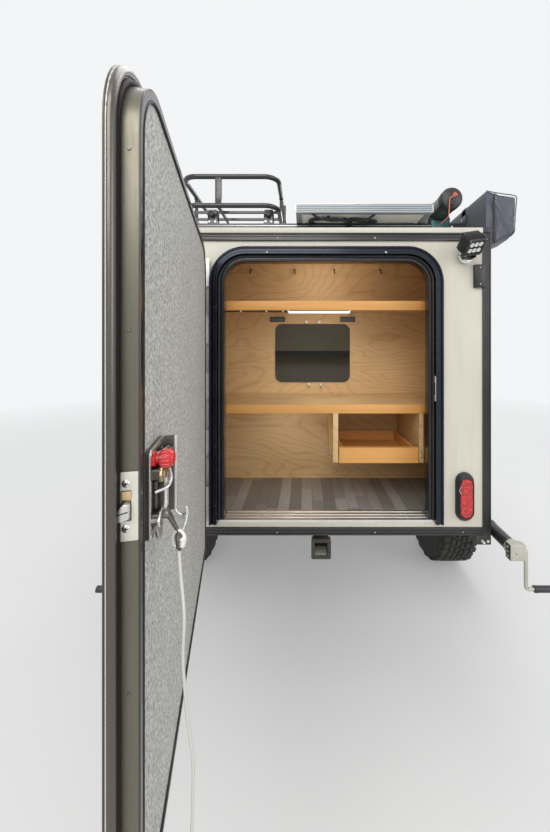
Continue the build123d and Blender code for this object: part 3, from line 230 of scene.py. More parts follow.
class Piece:
    """One piece of the scene, gathered in millimetres of a place on the trailer."""

    def __init__(self, name, body="trailer", where=BODY):
        self.name = name
        self.body = body
        self.where = where
        self.mesh = bmesh.new()
        self.finishes = []

    def add(self, part, finish, bevel=0.0, steps=2, turn=None):
        """Takes a closed shape in, with its edges bevelled and its finish given."""
        bmesh.ops.remove_doubles(part, verts=part.verts, dist=0.001)
        bmesh.ops.recalc_face_normals(part, faces=part.faces)
        if bevel:
            edges = [e for e in part.edges if len(e.link_faces) == 2 and e.calc_face_angle() > 0.5]
            bmesh.ops.bevel(part, geom=edges, offset=bevel, segments=steps, profile=0.5,
                            affect="EDGES", clamp_overlap=True)
        if turn:
            part.transform(turn)
        part.transform(self.where)
        if self.where.determinant() < 0:
            bmesh.ops.reverse_faces(part, faces=part.faces)
        if finish not in self.finishes:
            self.finishes.append(finish)
        for face in part.faces:
            face.material_index = self.finishes.index(finish)
        data = bpy.data.meshes.new("part")
        part.to_mesh(data)
        part.free()
        self.mesh.from_mesh(data)
        bpy.data.meshes.remove(data)

    def box(self, a, b, c, finish, bevel=1.0, turn=None):
        """A block with bevelled edges; turn is an angle in degrees about its own height."""
        part = bmesh.new()
        bmesh.ops.create_cube(part, size=1)
        a, b, c = (sorted(side) for side in (a, b, c))
        part.transform(Matrix.Diagonal((a[1] - a[0], b[1] - b[0], c[1] - c[0], 1)))
        if bevel:
            bmesh.ops.bevel(part, geom=part.edges[:], offset=bevel, segments=2, profile=0.5,
                            affect="EDGES", clamp_overlap=True)
        if turn:
            part.transform(Matrix.Rotation(radians(turn), 4, "Z"))
        part.transform(Matrix.Translation([sum(side) / 2 for side in (a, b, c)]))
        self.add(part, finish)

    def prism(self, outline, c, finish, bevel=0.6, turn=None):
        """An outline drawn out between two heights."""
        part = bmesh.new()
        face = part.faces.new([part.verts.new((x, y, c[0])) for x, y in outline])
        for moved in bmesh.ops.extrude_face_region(part, geom=[face])["geom"]:
            if isinstance(moved, bmesh.types.BMVert):
                moved.co.z = c[1]
        self.add(part, finish, bevel, turn=turn)

    def skin(self, rows, finish, loop=True, around=False, bevel=0.0, turn=None):
        """Faces between rows of points, loops or open lines; around joins the last row to the first."""
        part = bmesh.new()
        lines = [[part.verts.new(p) for p in row] for row in rows]
        for low, high in list(zip(lines, lines[1:])) + ([(lines[-1], lines[0])] if around else []):
            count = len(low)
            for i in range(count if loop else count - 1):
                j = (i + 1) % count
                part.faces.new((low[i], low[j], high[j], high[i]))
        if loop and not around:
            part.faces.new(lines[0])
            part.faces.new(list(reversed(lines[-1])))
        if around and not loop:
            bmesh.ops.holes_fill(part, edges=[e for e in part.edges if e.is_boundary], sides=0)
        self.add(part, finish, bevel, turn=turn)

    def band(self, outer, inner, c, finish, bevel=0.6):
        """A flat ring between two outlines with the same number of points."""
        sides = ((outer, c[0]), (outer, c[1]), (inner, c[1]), (inner, c[0]))
        self.skin([[(x, y, z) for x, y in line] for line, z in sides], finish, around=True, bevel=bevel)

    def lathe(self, centre, axis, profile, finish="zinc screw", steps=28, way=1, turn=None):
        """A turned shape: the profile gives radius and height along the axis letter, in either way."""
        x, y, z = centre
        rows = []
        for radius, high in profile:
            ring = circle(0, 0, max(radius, 0.0005), steps)
            rows.append({"a": [(x + way * high, y + p, z + q) for p, q in ring],
                         "b": [(x + p, y + way * high, z + q) for p, q in ring],
                         "c": [(x + p, y + q, z + way * high) for p, q in ring]}[axis])
        self.skin(rows, finish, turn=turn)

    def bolt(self, centre, axis, radius, side, top, finish="zinc screw", sides=6, way=1):
        """A plain head: how high its side is, and its middle."""
        self.lathe(centre, axis, [(0, 0), (radius, 0), (radius, side), (0, top)], finish, sides, way)

    def screw(self, a, b, c, radius, finish="zinc screw", up=1):
        """A domed screw head standing on a face, with a small black cross of painted shade for its cross
        slot.
        """
        dome = [(r * radius, h * radius) for r, h in ((0, 0), (1, 0), (1, 0.25), (0.75, 0.5), (0, 0.6))]
        self.lathe((a, b, c), "c", dome, finish, 16, up)
        cross = (c + up * radius * 0.5, c + up * radius * 0.64)
        for long, wide in ((0.55, 0.14), (0.14, 0.55)):
            self.box(span(a, long * radius), span(b, wide * radius), cross, "recess shade", 0)

    def pipe(self, points, radius, finish, sides=12, closed=False):
        """A round rod along a line of points."""
        points = [Vector(p) for p in points]
        count = len(points)
        heads = []
        for i in range(count):
            before = points[i - 1] if i or closed else points[0]
            after = points[(i + 1) % count] if i < count - 1 or closed else points[-1]
            heads.append((after - before).normalized())
        normal = heads[0].orthogonal().normalized()
        rows = []
        for here, head in zip(points, heads):
            normal = (normal - head * normal.dot(head)).normalized()
            other = head.cross(normal)
            rows.append([here + normal * p + other * q for p, q in circle(0, 0, radius, sides)])
        self.skin(rows, finish, around=closed)

    def done(self, smooth=38):
        """Makes the object, shades it and lets it ride on its body."""
        data = bpy.data.meshes.new(self.name)
        self.mesh.to_mesh(data)
        self.mesh.free()
        for finish in self.finishes:
            data.materials.append(FINISH[finish])
        data.polygons.foreach_set("use_smooth", [True] * len(data.polygons))
        data.set_sharp_from_angle(angle=radians(smooth))
        obj = bpy.data.objects.new(self.name, data)
        bpy.context.scene.collection.objects.link(obj)
        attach(obj, self.body)
        return obj


# Finishes

FINISH = {}
GREY = (0.5, 0.5, 0.5, 1)


def level(rgb, by=1.0):
    """A colour made lighter or darker."""
    return (*[min(1.0, v * by) for v in rgb[:3]], 1.0)


class Graph:
    """Adds shader nodes to a tree in single lines."""

    def __init__(self, tree, shader=None):
        self.tree = tree
        self.shader = shader

    def node(self, kind, into=None, **settings):
        """A node with its settings, and its inputs linked or set."""
        made = self.tree.nodes.new("ShaderNode" + kind)
        for key, value in settings.items():
            setattr(made, key, value)
        for key, value in (into or {}).items():
            self.feed(made.inputs[key], value)
        return made

    def feed(self, socket, value):
        """Links a socket or sets its own value."""
        if isinstance(value, bpy.types.NodeSocket):
            self.tree.links.new(value, socket)
        else:
            socket.default_value = value

    def put(self, **values):
        """Feeds the surface shader's sockets, named with low lines for spaces."""
        for name, value in values.items():
            self.feed(self.shader.inputs[name.replace("_", " ")], value)

    def sum(self, operation, first, second=0.5):
        """One sum."""
        return self.node("Math", {0: first, 1: second}, operation=operation).outputs[0]

    def times(self, first, second):
        return self.sum("MULTIPLY", first, second)

    def plus(self, first, second):
        return self.sum("ADD", first, second)

    def mix(self, factor, first, second):
        """Two colours mixed."""
        return self.node("Mix", {0: factor, 6: first, 7: second}, data_type="RGBA").outputs[2]

    def spread(self, value, low, high, to_low=0.0, to_high=1.0):
        """A value spread between new limits."""
        return self.node("MapRange", {0: value, 1: low, 2: high, 3: to_low, 4: to_high}).outputs[0]

    def own(self):
        """The object's own coordinates."""
        return self.node("TexCoord").outputs["Object"]

    def stretched(self, where, scale):
        return self.node("Mapping", {"Vector": where, "Scale": scale}).outputs[0]

    def noise(self, where, scale, detail, rough, distortion=0.0):
        """A noise value; a place given as three numbers stretches the object's own coordinates."""
        where = self.stretched(self.own(), where) if isinstance(where, tuple) else where
        return self.node("TexNoise", {"Vector": where, "Scale": scale, "Detail": detail,
                                      "Roughness": rough, "Distortion": distortion}).outputs[0]

    def cloud(self, scale, detail, rough, low=0.3, high=0.7, where=(1, 1, 1)):
        """Noise spread between nothing and all."""
        return self.spread(self.noise(where, scale, detail, rough), low, high)

    def cells(self, scale):
        where = self.stretched(self.own(), (1, 1, 1))
        return self.node("TexVoronoi", {"Vector": where, "Scale": scale}).outputs[0]

    def axes(self):
        """The object's own coordinates, one by one."""
        return self.node("SeparateXYZ", {0: self.own()}).outputs

    def group(self, name, into):
        """A shared effect inside a finish."""
        made = self.node("Group")
        made.node_tree = bpy.data.node_groups[name]
        for key, value in into.items():
            self.feed(made.inputs[key], value)
        return made.outputs

    def dusted(self, tone, dust, amount, scale):
        """Feeds the base colour with dust lying on it, and gives back where the dust lies."""
        made = self.group("Weathering", {"Color": tone, "Dust": level(dust), "Amount": amount,
                                         "Scale": scale})
        self.put(Base_Color=made["Color"])
        return made["Mask"]

    def bump(self, height, depth, strength=1.0):
        """Feeds a height into the surface normal; the depth is in millimetres."""
        made = self.node("Bump", {"Strength": strength, "Distance": depth * MM, "Height": height})
        self.put(Normal=made.outputs[0])


def new_group(name, inputs, outputs):
    """An empty node group: its graph, its input sockets and its output sockets."""
    tree = bpy.data.node_groups.new(name, "ShaderNodeTree")
    for label, default in inputs.items():
        kind = "Float" if isinstance(default, float) else "Color" if len(default) == 4 else "Vector"
        made = tree.interface.new_socket(name=label, in_out="INPUT", socket_type="NodeSocket" + kind)
        made.default_value = default
    for label, kind in outputs.items():
        tree.interface.new_socket(name=label, in_out="OUTPUT", socket_type="NodeSocket" + kind)
    return Graph(tree), tree.nodes.new("NodeGroupInput").outputs, tree.nodes.new("NodeGroupOutput").inputs


def make_groups():
    """Builds the effects that several finishes share."""
    g, given, gives = new_group("Fine grain", {"Scale": 300.0, "Stretch": (1, 1, 1)},
                                {"Height": "Float", "Value": "Float"})
    fine = g.noise(g.stretched(g.own(), given["Stretch"]), given["Scale"], 4.0, 0.6)
    g.feed(gives["Height"], fine)
    g.feed(gives["Value"], g.spread(fine, 0.3, 0.7))

    g, given, gives = new_group("Weathering", {"Color": GREY, "Dust": GREY, "Amount": 0.3, "Scale": 6.0},
                                {"Color": "Color", "Mask": "Float"})
    patches = g.noise((1, 1, 1), given["Scale"], 6.0, 0.65)
    specks = g.noise((1, 1, 0.6), 90.0, 3.0, 0.6)
    up = g.node("SeparateXYZ", {0: g.node("NewGeometry").outputs["Normal"]}).outputs[2]
    mask = g.times(g.spread(patches, 0.34, 0.9), g.spread(up, -0.2, 1.0, 0.3, 1.0))
    mask = g.times(mask, g.spread(specks, 0.25, 0.65, 0.4, 1.0))
    mask = g.times(mask, given["Amount"])
    g.feed(gives["Color"], g.mix(mask, given["Color"], given["Dust"]))
    g.feed(gives["Mask"], mask)

    g, given, gives = new_group("Edge wear", {"Color": GREY, "Worn": GREY, "Amount": 0.5},
                                {"Color": "Color", "Mask": "Float"})
    edge = g.spread(g.node("NewGeometry").outputs["Pointiness"], 0.53, 0.6)
    mask = g.times(g.times(edge, g.cloud(55.0, 4.0, 0.7, 0.42, 0.62)), given["Amount"])
    g.feed(gives["Color"], g.mix(mask, given["Color"], given["Worn"]))
    g.feed(gives["Mask"], mask)

    g, given, gives = new_group("Timber", {"Light": GREY, "Dark": GREY, "Rings": 34.0, "Contrast": 0.4,
                                           "Stretch": (1, 3, 3)}, {"Color": "Color", "Height": "Float"})
    where = g.stretched(g.own(), given["Stretch"])
    rings = g.sum("SINE", g.times(g.noise(where, 1.25, 3.0, 0.4, 0.35), given["Rings"]))
    rings = g.sum("POWER", g.spread(rings, -1.0, 1.0), 7.0)
    fibre = g.noise(g.stretched(where, (3, 55, 55)), 3.0, 5.0, 0.62)
    blotch = g.noise(where, 2.6, 3.0, 0.55)
    tone = g.plus(g.times(rings, 0.22), g.times(g.spread(fibre, 0.3, 0.7), 0.34))
    tone = g.times(g.plus(tone, g.times(g.spread(blotch, 0.3, 0.7), 0.2)), given["Contrast"])
    g.feed(gives["Color"], g.mix(tone, given["Light"], given["Dark"]))
    g.feed(gives["Height"], fibre)

    g, given, gives = new_group("Weave", {"Scale": 900.0}, {"Height": "Float", "Mask": "Float"})
    where = g.axes()
    warp = g.sum("SINE", g.times(g.plus(where[0], where[2]), given["Scale"]))
    cross = g.times(warp, g.sum("SINE", g.times(where[1], given["Scale"])))
    g.feed(gives["Height"], g.spread(cross, -1.0, 1.0))
    g.feed(gives["Mask"], g.spread(cross, -0.6, 0.6))


def new_finish(name):
    """An empty finish with its surface shader."""
    made = bpy.data.materials.new(name)
    made.use_nodes = True
    FINISH[name] = made
    return Graph(made.node_tree, made.node_tree.nodes["Principled BSDF"])


def solid_finish(name, base, rough, metal, coat, scale, depth, mottle, dust, stretch=(1, 1, 1),
                 dust_tint=(0.42, 0.38, 0.31), worn=None, wear=0.0, specular=0.5):
    """Paint, plating, plastic or rubber: mottled, finely grained, dusty and worn on its edges."""
    g = new_finish(name)
    base = colour(base) if isinstance(base, str) else base
    tone = g.mix(g.cloud(3.2, 5.0, 0.6), level(base, 1 + mottle), level(base, 1 - mottle))
    grains = g.group("Fine grain", {"Scale": scale, "Stretch": stretch})
    if worn:
        tone = g.group("Edge wear", {"Color": tone, "Worn": level(worn), "Amount": wear})["Color"]
    mask = g.dusted(tone, dust_tint, dust, 7.0)
    matt = g.spread(grains["Value"], 0.0, 1.0, rough - 0.07, rough + 0.07)
    g.put(Roughness=g.plus(matt, g.times(mask, 0.35)), Metallic=metal, Coat_Weight=coat, Coat_Roughness=0.12,
          Specular_IOR_Level=specular)
    g.bump(grains["Height"], depth)


def sheet_finish(name, base, rough, dust=0.25):
    """Painted sheet: broad clouding, faint runs of dirt and a light orange peel."""
    g = new_finish(name)
    tone = g.mix(g.cloud(1.6, 4.0, 0.55), level(base, 1.04), level(base, 0.93))
    runs = g.cloud(4.0, 5.0, 0.6, 0.5, 0.8, (9, 9, 0.7))
    mask = g.dusted(g.mix(g.times(runs, 0.22), tone, level(base, 0.62)), (0.36, 0.31, 0.24), dust, 4.0)
    peel = g.group("Fine grain", {"Scale": 210.0})
    g.put(Roughness=g.plus(g.spread(peel["Value"], 0.0, 1.0, rough - 0.05, rough + 0.05), g.times(mask, 0.4)),
          Coat_Weight=0.15, Coat_Roughness=0.25)
    g.bump(peel["Height"], 0.06, 0.6)


def timber_finish(name, kind, rings, contrast, stretch, rough=0.55):
    """Plywood or solid wood with its rings, fibres and blotches."""
    g = new_finish(name)
    light, dark = colour(kind), colour(kind + "_dark")
    wood = g.group("Timber", {"Light": light, "Dark": dark, "Rings": rings, "Contrast": contrast,
                              "Stretch": stretch})
    g.dusted(wood["Color"], level(dark, 0.55), 0.18, 5.0)
    g.put(Roughness=g.spread(wood["Height"], 0.2, 0.8, rough - 0.08, rough + 0.1))
    g.bump(wood["Height"], 0.12, 0.7)


def brushed_finish(name, base, rough, stretch, dust=0.15):
    """Bare or plated metal with its drawn grain."""
    g = new_finish(name)
    grain = g.group("Fine grain", {"Scale": 240.0, "Stretch": stretch})
    tone = g.mix(g.times(grain["Value"], 0.35), level(base, 1.06), level(base, 0.78))
    tone = g.mix(g.times(g.cloud(14.0, 5.0, 0.7, 0.48, 0.75), 0.25), tone, level(base, 0.55))
    mask = g.dusted(tone, (0.36, 0.33, 0.28), dust, 8.0)
    g.put(Roughness=g.plus(g.spread(grain["Value"], 0.0, 1.0, rough - 0.08, rough + 0.1), g.times(mask, 0.4)),
          Metallic=1.0)
    g.bump(grain["Height"], 0.04, 0.6)


def cloth_finish(name, base, scale, rough, fade):
    """Woven cloth with its threads, creases and faded patches."""
    g = new_finish(name)
    weave = g.group("Weave", {"Scale": scale})
    tone = g.mix(g.times(g.cloud(5.0, 5.0, 0.6, 0.35), 0.6), base, level(base, fade))
    tone = g.mix(g.times(weave["Mask"], 0.35), tone, level(base, 0.6))
    g.dusted(tone, (0.4, 0.36, 0.3), 0.3, 6.0)
    g.put(Roughness=g.spread(weave["Height"], 0.0, 1.0, rough - 0.1, rough + 0.05), Sheen_Weight=0.1)
    g.bump(g.plus(g.times(weave["Height"], 0.12), g.noise((1, 1, 1), 26.0, 4.0, 0.55)), 1.6, 0.5)


def stipple_finish(name, base, scale, depth, rough=0.6):
    """Embossed panel: painted shade darkens the hollows between its fine bumps and painted highlight lightens
    their tops, with faint upright streaks.
    """
    g = new_finish(name)
    dots = g.noise((1, 1, 0.5), scale, 3.0, 0.65)
    bump_light_and_shade = g.spread(dots, 0.40, 0.60)
    # Painted shade in the hollows, painted highlight on the bumps' tops.
    tone = g.mix(bump_light_and_shade, level(base, 0.33), level(base, 1.12))
    tone = g.mix(g.times(g.cloud(2.4, 4.0, 0.6, where=(1, 1, 0.5)), 0.2), tone, level(base, 0.6))
    tone = g.mix(g.times(g.cloud(5.0, 4.0, 0.6, 0.3, 0.75, (16, 16, 0.5)), 0.35), tone, level(base, 0.5))
    g.dusted(tone, (0.36, 0.33, 0.27), 0.1, 5.0)
    g.put(Roughness=g.spread(bump_light_and_shade, 0.0, 1.0, rough + 0.15, rough))
    g.bump(dots, depth, 0.8)


def plank_finish(name, wide=0.052):
    """Vinyl floor printed as narrow grey boards that run forward."""
    g = new_finish(name)
    where = g.axes()
    board = g.sum("FLOOR", g.sum("DIVIDE", where[0], wide))
    shift = g.node("TexWhiteNoise", {"W": board}, noise_dimensions="1D").outputs[0]
    row = g.sum("FLOOR", g.plus(g.times(where[1], 2.2), g.times(shift, 3.0)))
    pick = g.node("TexWhiteNoise", {"W": g.plus(board, g.times(row, 17.0))}, noise_dimensions="1D").outputs[0]
    fibre = g.noise((40, 2.5, 1), 5.0, 5.0, 0.65)
    tone = g.mix(pick, (0.17, 0.165, 0.155, 1), (0.38, 0.37, 0.35, 1))
    tone = g.mix(g.times(g.spread(fibre, 0.35, 0.7), 0.5), tone, (0.2, 0.175, 0.145, 1))
    joint = g.sum("LESS_THAN", g.sum("FRACT", g.sum("DIVIDE", where[0], wide)), 0.035)
    g.put(Base_Color=g.mix(g.times(joint, 0.7), tone, (0.05, 0.045, 0.04, 1)),
          Roughness=g.spread(fibre, 0.2, 0.8, 0.42, 0.6))
    g.bump(fibre, 0.15, 0.5)


def cell_finish(name):
    """Dark solar cells in a grid with fine silver lines, under glass."""
    g = new_finish(name)
    where = g.axes()

    def lines(axis, pitch, width, shift):
        inside = g.sum("FRACT", g.sum("DIVIDE", g.plus(where[axis], shift), pitch))
        return g.sum("LESS_THAN", inside, width / pitch)

    gaps = g.sum("MAXIMUM", lines(0, 0.1405, 0.0035, 0.111), lines(1, 0.1395, 0.0035, 0.09))
    bars = lines(0, 0.0468, 0.0012, 0.087)
    tone = g.mix(g.cloud(30.0, 3.0, 0.5), (0.008, 0.012, 0.03, 1), (0.014, 0.021, 0.05, 1))
    tone = g.mix(g.times(bars, 0.5), tone, (0.5, 0.52, 0.55, 1))
    mask = g.dusted(g.mix(gaps, tone, (0.72, 0.73, 0.74, 1)), (0.4, 0.37, 0.32), 0.18, 6.0)
    g.put(Roughness=g.plus(g.times(mask, 0.5), 0.12), Coat_Weight=1.0, Coat_Roughness=0.04)


def lens_finish(name, base, scale, glow):
    """Moulded lens whose facets carry painted glints: a lighter colour and a faint glow at their middles,
    below a glossy face.
    """
    g = new_finish(name)
    cells = g.cells(scale)
    painted_glints = g.spread(cells, 0.05, 0.55, 1.0, 0.0)
    mask = g.dusted(g.mix(painted_glints, level(base, 0.55), level(base, 1.5)), (0.4, 0.35, 0.3), 0.15, 9.0)
    # The facets' middles glow in the lens colour: painted glints, not lamp light.
    g.put(Emission_Color=g.mix(painted_glints, (0, 0, 0, 1), base), Emission_Strength=glow,
          Roughness=g.plus(g.times(mask, 0.4), 0.16), Coat_Weight=0.8, Coat_Roughness=0.06)
    g.bump(cells, 0.5, 0.6)


def glass_finish(name, base, through, rough=0.05):
    """Tinted glazing with a film of dust."""
    g = new_finish(name)
    film = g.cloud(9.0, 5.0, 0.6, 0.35, 0.75)
    g.put(Base_Color=g.mix(g.times(film, 0.3), base, level(base, 1.5)), Transmission_Weight=through, IOR=1.49,
          Roughness=g.spread(film, 0.0, 1.0, rough, rough + 0.12))


def lamp_finish(name, base, strength):
    """A diffuser that shines a little; on the work lamp's reflectors, which give no light, the glow is
    painted.
    """
    g = new_finish(name)
    cloud = g.cloud(60.0, 2.0, 0.5)
    tone = g.mix(cloud, base, level(base, 0.93))
    g.put(Base_Color=tone, Emission_Color=tone, Emission_Strength=strength,
          Roughness=g.spread(cloud, 0.0, 1.0, 0.3, 0.42))


BLACK = (0.012, 0.012, 0.013)
DRAWN = {"stretch": (1, 1, 0.06)}

# Colour, roughness, metal, coat, grain's scale and depth, mottling and dust, then what few finishes have
SOLIDS = {
    "trim": ("trim", 0.34, 0.35, 0.25, 360, 0.03, 0.06, 0.16),
    "frame blue": ("frame_blue", 0.27, 0.8, 0.3, 420, 0.02, 0.03, 0.07, {"stretch": (1, 1, 0.08)}),
    "gasket": ((0.006, 0.006, 0.006), 0.6, 0, 0, 380, 0.06, 0.05, 0.02, {"specular": 0.2}),
    "edge metal": ((0.11, 0.1, 0.09), 0.32, 0.85, 0.15, 420, 0.02, 0.05, 0.06, DRAWN),
    "flange edge": ((0.05, 0.048, 0.044), 0.36, 0.5, 0.1, 420, 0.02, 0.05, 0.1, DRAWN),
    "dark steel": ((0.11, 0.1, 0.09), 0.34, 0.85, 0, 300, 0.05, 0.3, 0.25),
    # Pale, half-metallic steel for the latch bars' caps, rings, clip and chain: partly real bright plating,
    # partly painted highlight.
    "bright steel": ((0.8, 0.79, 0.76), 0.28, 0.4, 0.1, 300, 0.03, 0.06, 0.1),
    "old brass": ((0.42, 0.33, 0.2), 0.32, 0.85, 0, 300, 0.04, 0.2, 0.2),
    "jack arm": ((0.03, 0.031, 0.037), 0.34, 0.4, 0.2, 90, 0.05, 0.15, 0.15),
    "galvanised": ((0.33, 0.34, 0.34), 0.42, 0.7, 0, 90, 0.05, 0.22, 0.25),
    "panel frame": ((0.33, 0.37, 0.40), 0.5, 0.3, 0, 300, 0.03, 0.06, 0.1, {"stretch": (0.04, 1, 1)}),
    "grip": ((0.03, 0.03, 0.031), 0.6, 0, 0, 300, 0.12, 0.08, 0.2),
    "lining grey": ((0.12, 0.125, 0.13), 0.9, 0, 0, 520, 0.5, 0.08, 0.1),
    "rubber": (BLACK, 0.62, 0, 0, 420, 0.08, 0.12, 0.22),
    "cable blue": ((0.012, 0.016, 0.03), 0.5, 0, 0, 420, 0.08, 0.05, 0.06),
    "bronze": ("bronze", 0.36, 0.7, 0.15, 420, 0.02, 0.04, 0.1, {"stretch": (1, 1, 0.05)}),
    # Near-black fill for holes, slots and keyholes: painted shade where no light reaches.
    "recess shade": ((0.01, 0.01, 0.01), 0.7, 0, 0, 320, 0.05, 0, 0.05),
    "zinc": ("zinc", 0.4, 0.55, 0.1, 140, 0.06, 0.16, 0.3, {"worn": (0.25, 0.15, 0.08), "wear": 0.6}),
    "strike": ((0.72, 0.7, 0.62), 0.34, 0.5, 0, 300, 0.03, 0.1, 0.35),
    "chassis": ("chassis", 0.5, 0.1, 0.1, 180, 0.1, 0.25, 0.5, {"worn": (0.16, 0.1, 0.06), "wear": 0.5}),
    "black plastic": ((0.015, 0.016, 0.019), 0.42, 0, 0, 500, 0.06, 0.05, 0.1),
    "fender": ((0.02, 0.02, 0.021), 0.42, 0.1, 0.3, 200, 0.08, 0.12, 0.5),
    "black tube": ((0.022, 0.023, 0.027), 0.34, 0.2, 0.35, 220, 0.05, 0.12, 0.12,
                   {"worn": (0.3, 0.29, 0.27), "wear": 0.2}),
    "tank": ("tank", 0.36, 0, 0.35, 200, 0.05, 0.12, 0.3),
    "teal": ((0.05, 0.19, 0.2), 0.42, 0.2, 0.1, 320, 0.05, 0.12, 0.35),
    "coral": ((0.75, 0.2, 0.12), 0.8, 0, 0, 900, 0.2, 0.12, 0.3),
    "panel back": ((0.78, 0.78, 0.75), 0.45, 0, 0.1, 320, 0.05, 0.12, 0.3),
    "tyre": ((0.018, 0.018, 0.018), 0.72, 0, 0, 300, 0.15, 0.12, 0.75, {"dust_tint": (0.2, 0.17, 0.13)}),
    "wheel black": ((0.02, 0.02, 0.021), 0.35, 0.2, 0.4, 200, 0.06, 0.12, 0.45,
                    {"worn": (0.3, 0.28, 0.26), "wear": 0.3}),
    "cord": ("cord", 0.78, 0, 0, 1100, 0.25, 0.12, 0.4),
    "knob": ("knob", 0.3, 0, 0.35, 320, 0.05, 0.1, 0.02),
    "yellow": ((0.72, 0.42, 0.02), 0.4, 0, 0, 320, 0.05, 0.12, 0.1),
    "toolbox": ((0.58, 0.58, 0.57), 0.35, 0.9, 0, 60, 0.3, 0.15, 0.3),
}

# Colour, roughness, stretch of the drawn grain and dust
BRUSHED = {
    "aluminium": ((0.74, 0.73, 0.7), 0.42, (0.04, 1, 1), 0.15),
    "silver": ((0.68, 0.68, 0.67), 0.3, (0.05, 1, 1), 0.15),
    "steel": ((0.5, 0.5, 0.49), 0.3, (1, 1, 0.1), 0.12),
    "zinc screw": ((0.66, 0.65, 0.62), 0.28, (1, 1, 1), 0.05),
}


def make_finishes():
    """Builds every finish of the trailer."""
    make_groups()
    for name, row in SOLIDS.items():
        extra = row[8] if len(row) > 8 else {}
        solid_finish(name, *row[:8], **extra)
    for name, row in BRUSHED.items():
        brushed_finish(name, *row)
    sheet_finish("cream", colour("cream"), 0.42)
    stipple_finish("door panel", colour("door_panel"), 330.0, 0.3)
    timber_finish("birch", "birch", 210.0, 1.0, (0.7, 1, 2.2))
    timber_finish("birch lining", "birch", 150.0, 0.9, (1, 0.7, 1.8))
    timber_finish("pine", "pine", 60.0, 1.0, (0.5, 3, 6))
    plank_finish("vinyl")
    cell_finish("cells")
    cloth_finish("canvas", colour("canvas"), 1500.0, 0.52, 1.8)
    cloth_finish("strap", (0.02, 0.02, 0.022, 1), 2600.0, 0.8, 1.5)
    # Both lenses carry painted glints; the last number is the strength of their painted glow.
    lens_finish("red lens", colour("lens_red"), 120.0, 0.3)
    lens_finish("amber lens", (0.72, 0.22, 0.01, 1), 160.0, 0.1)
    glass_finish("glazing", (0.12, 0.13, 0.135, 1), 0.75)
    # The work lamp's reflectors get a faint painted glow.
    lamp_finish("led reflector", (0.72, 0.72, 0.7, 1), 0.02)
    lamp_finish("led", (0.95, 0.94, 0.9, 1), 0.3)


NODE_FINISHES = {
    "cream": "side_wall_left side_wall_right roof_panel rear_wall rear_door_skin side_door_left "
             "side_door_right",
    "trim": "edge_trims",
    "frame blue": "rear_frame",
    "bronze": "rear_door_rim",
    "door panel": "rear_door_panel",
    "aluminium": "threshold drawer_slides",
    "panel frame": "solar_panel",
    "birch": "bulkhead galley_counter galley_shelf",
    "pine": "drawer",
    "vinyl": "floor_panel",
    "jack arm": "rear_jack_left rear_jack_right",
    "zinc": "tongue_jack",
    "chassis": "receiver frame_rails frame_cross tongue_frame coupler axle_beam axle_arms",
    "black plastic": "tail_lamps work_lamp light_bar side_fittings_left side_fittings_right",
    "dark steel": "rear_door_latch",
    "steel": "fixed_hinges rear_door_fittings",
    "black tube": "roof_rack roof_basket",
    "fender": "fenders",
    "tank": "water_tube",
    "canvas": "awning_bag",
    "cord": "door_cord cord_knot",
    "tyre": "tyre_left tyre_right",
    "wheel black": "rim_left rim_right",
    "glazing": "side_glass_left side_glass_right",
    "toolbox": "toolbox toolbox_lid",
}


class TRAILER_OT_finishes(bpy.types.Operator):
    """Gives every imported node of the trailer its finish"""
    bl_idname = "trailer.finishes"
    bl_label = "Finishes"

    def execute(self, context):
        make_finishes()
        for finish, names in NODE_FINISHES.items():
            for name in names.split():
                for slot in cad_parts[name].material_slots:
                    slot.material = FINISH[finish]
        return {"FINISHED"}


# Stage and cord

def seen_rays(g):
    """One for rays that see a surface straight, in a gloss or through glass."""
    seen = g.node("LightPath").outputs
    straight = g.sum("MAXIMUM", seen["Is Camera Ray"], seen["Is Glossy Ray"])
    return g.sum("MAXIMUM", straight, seen["Is Transmission Ray"])


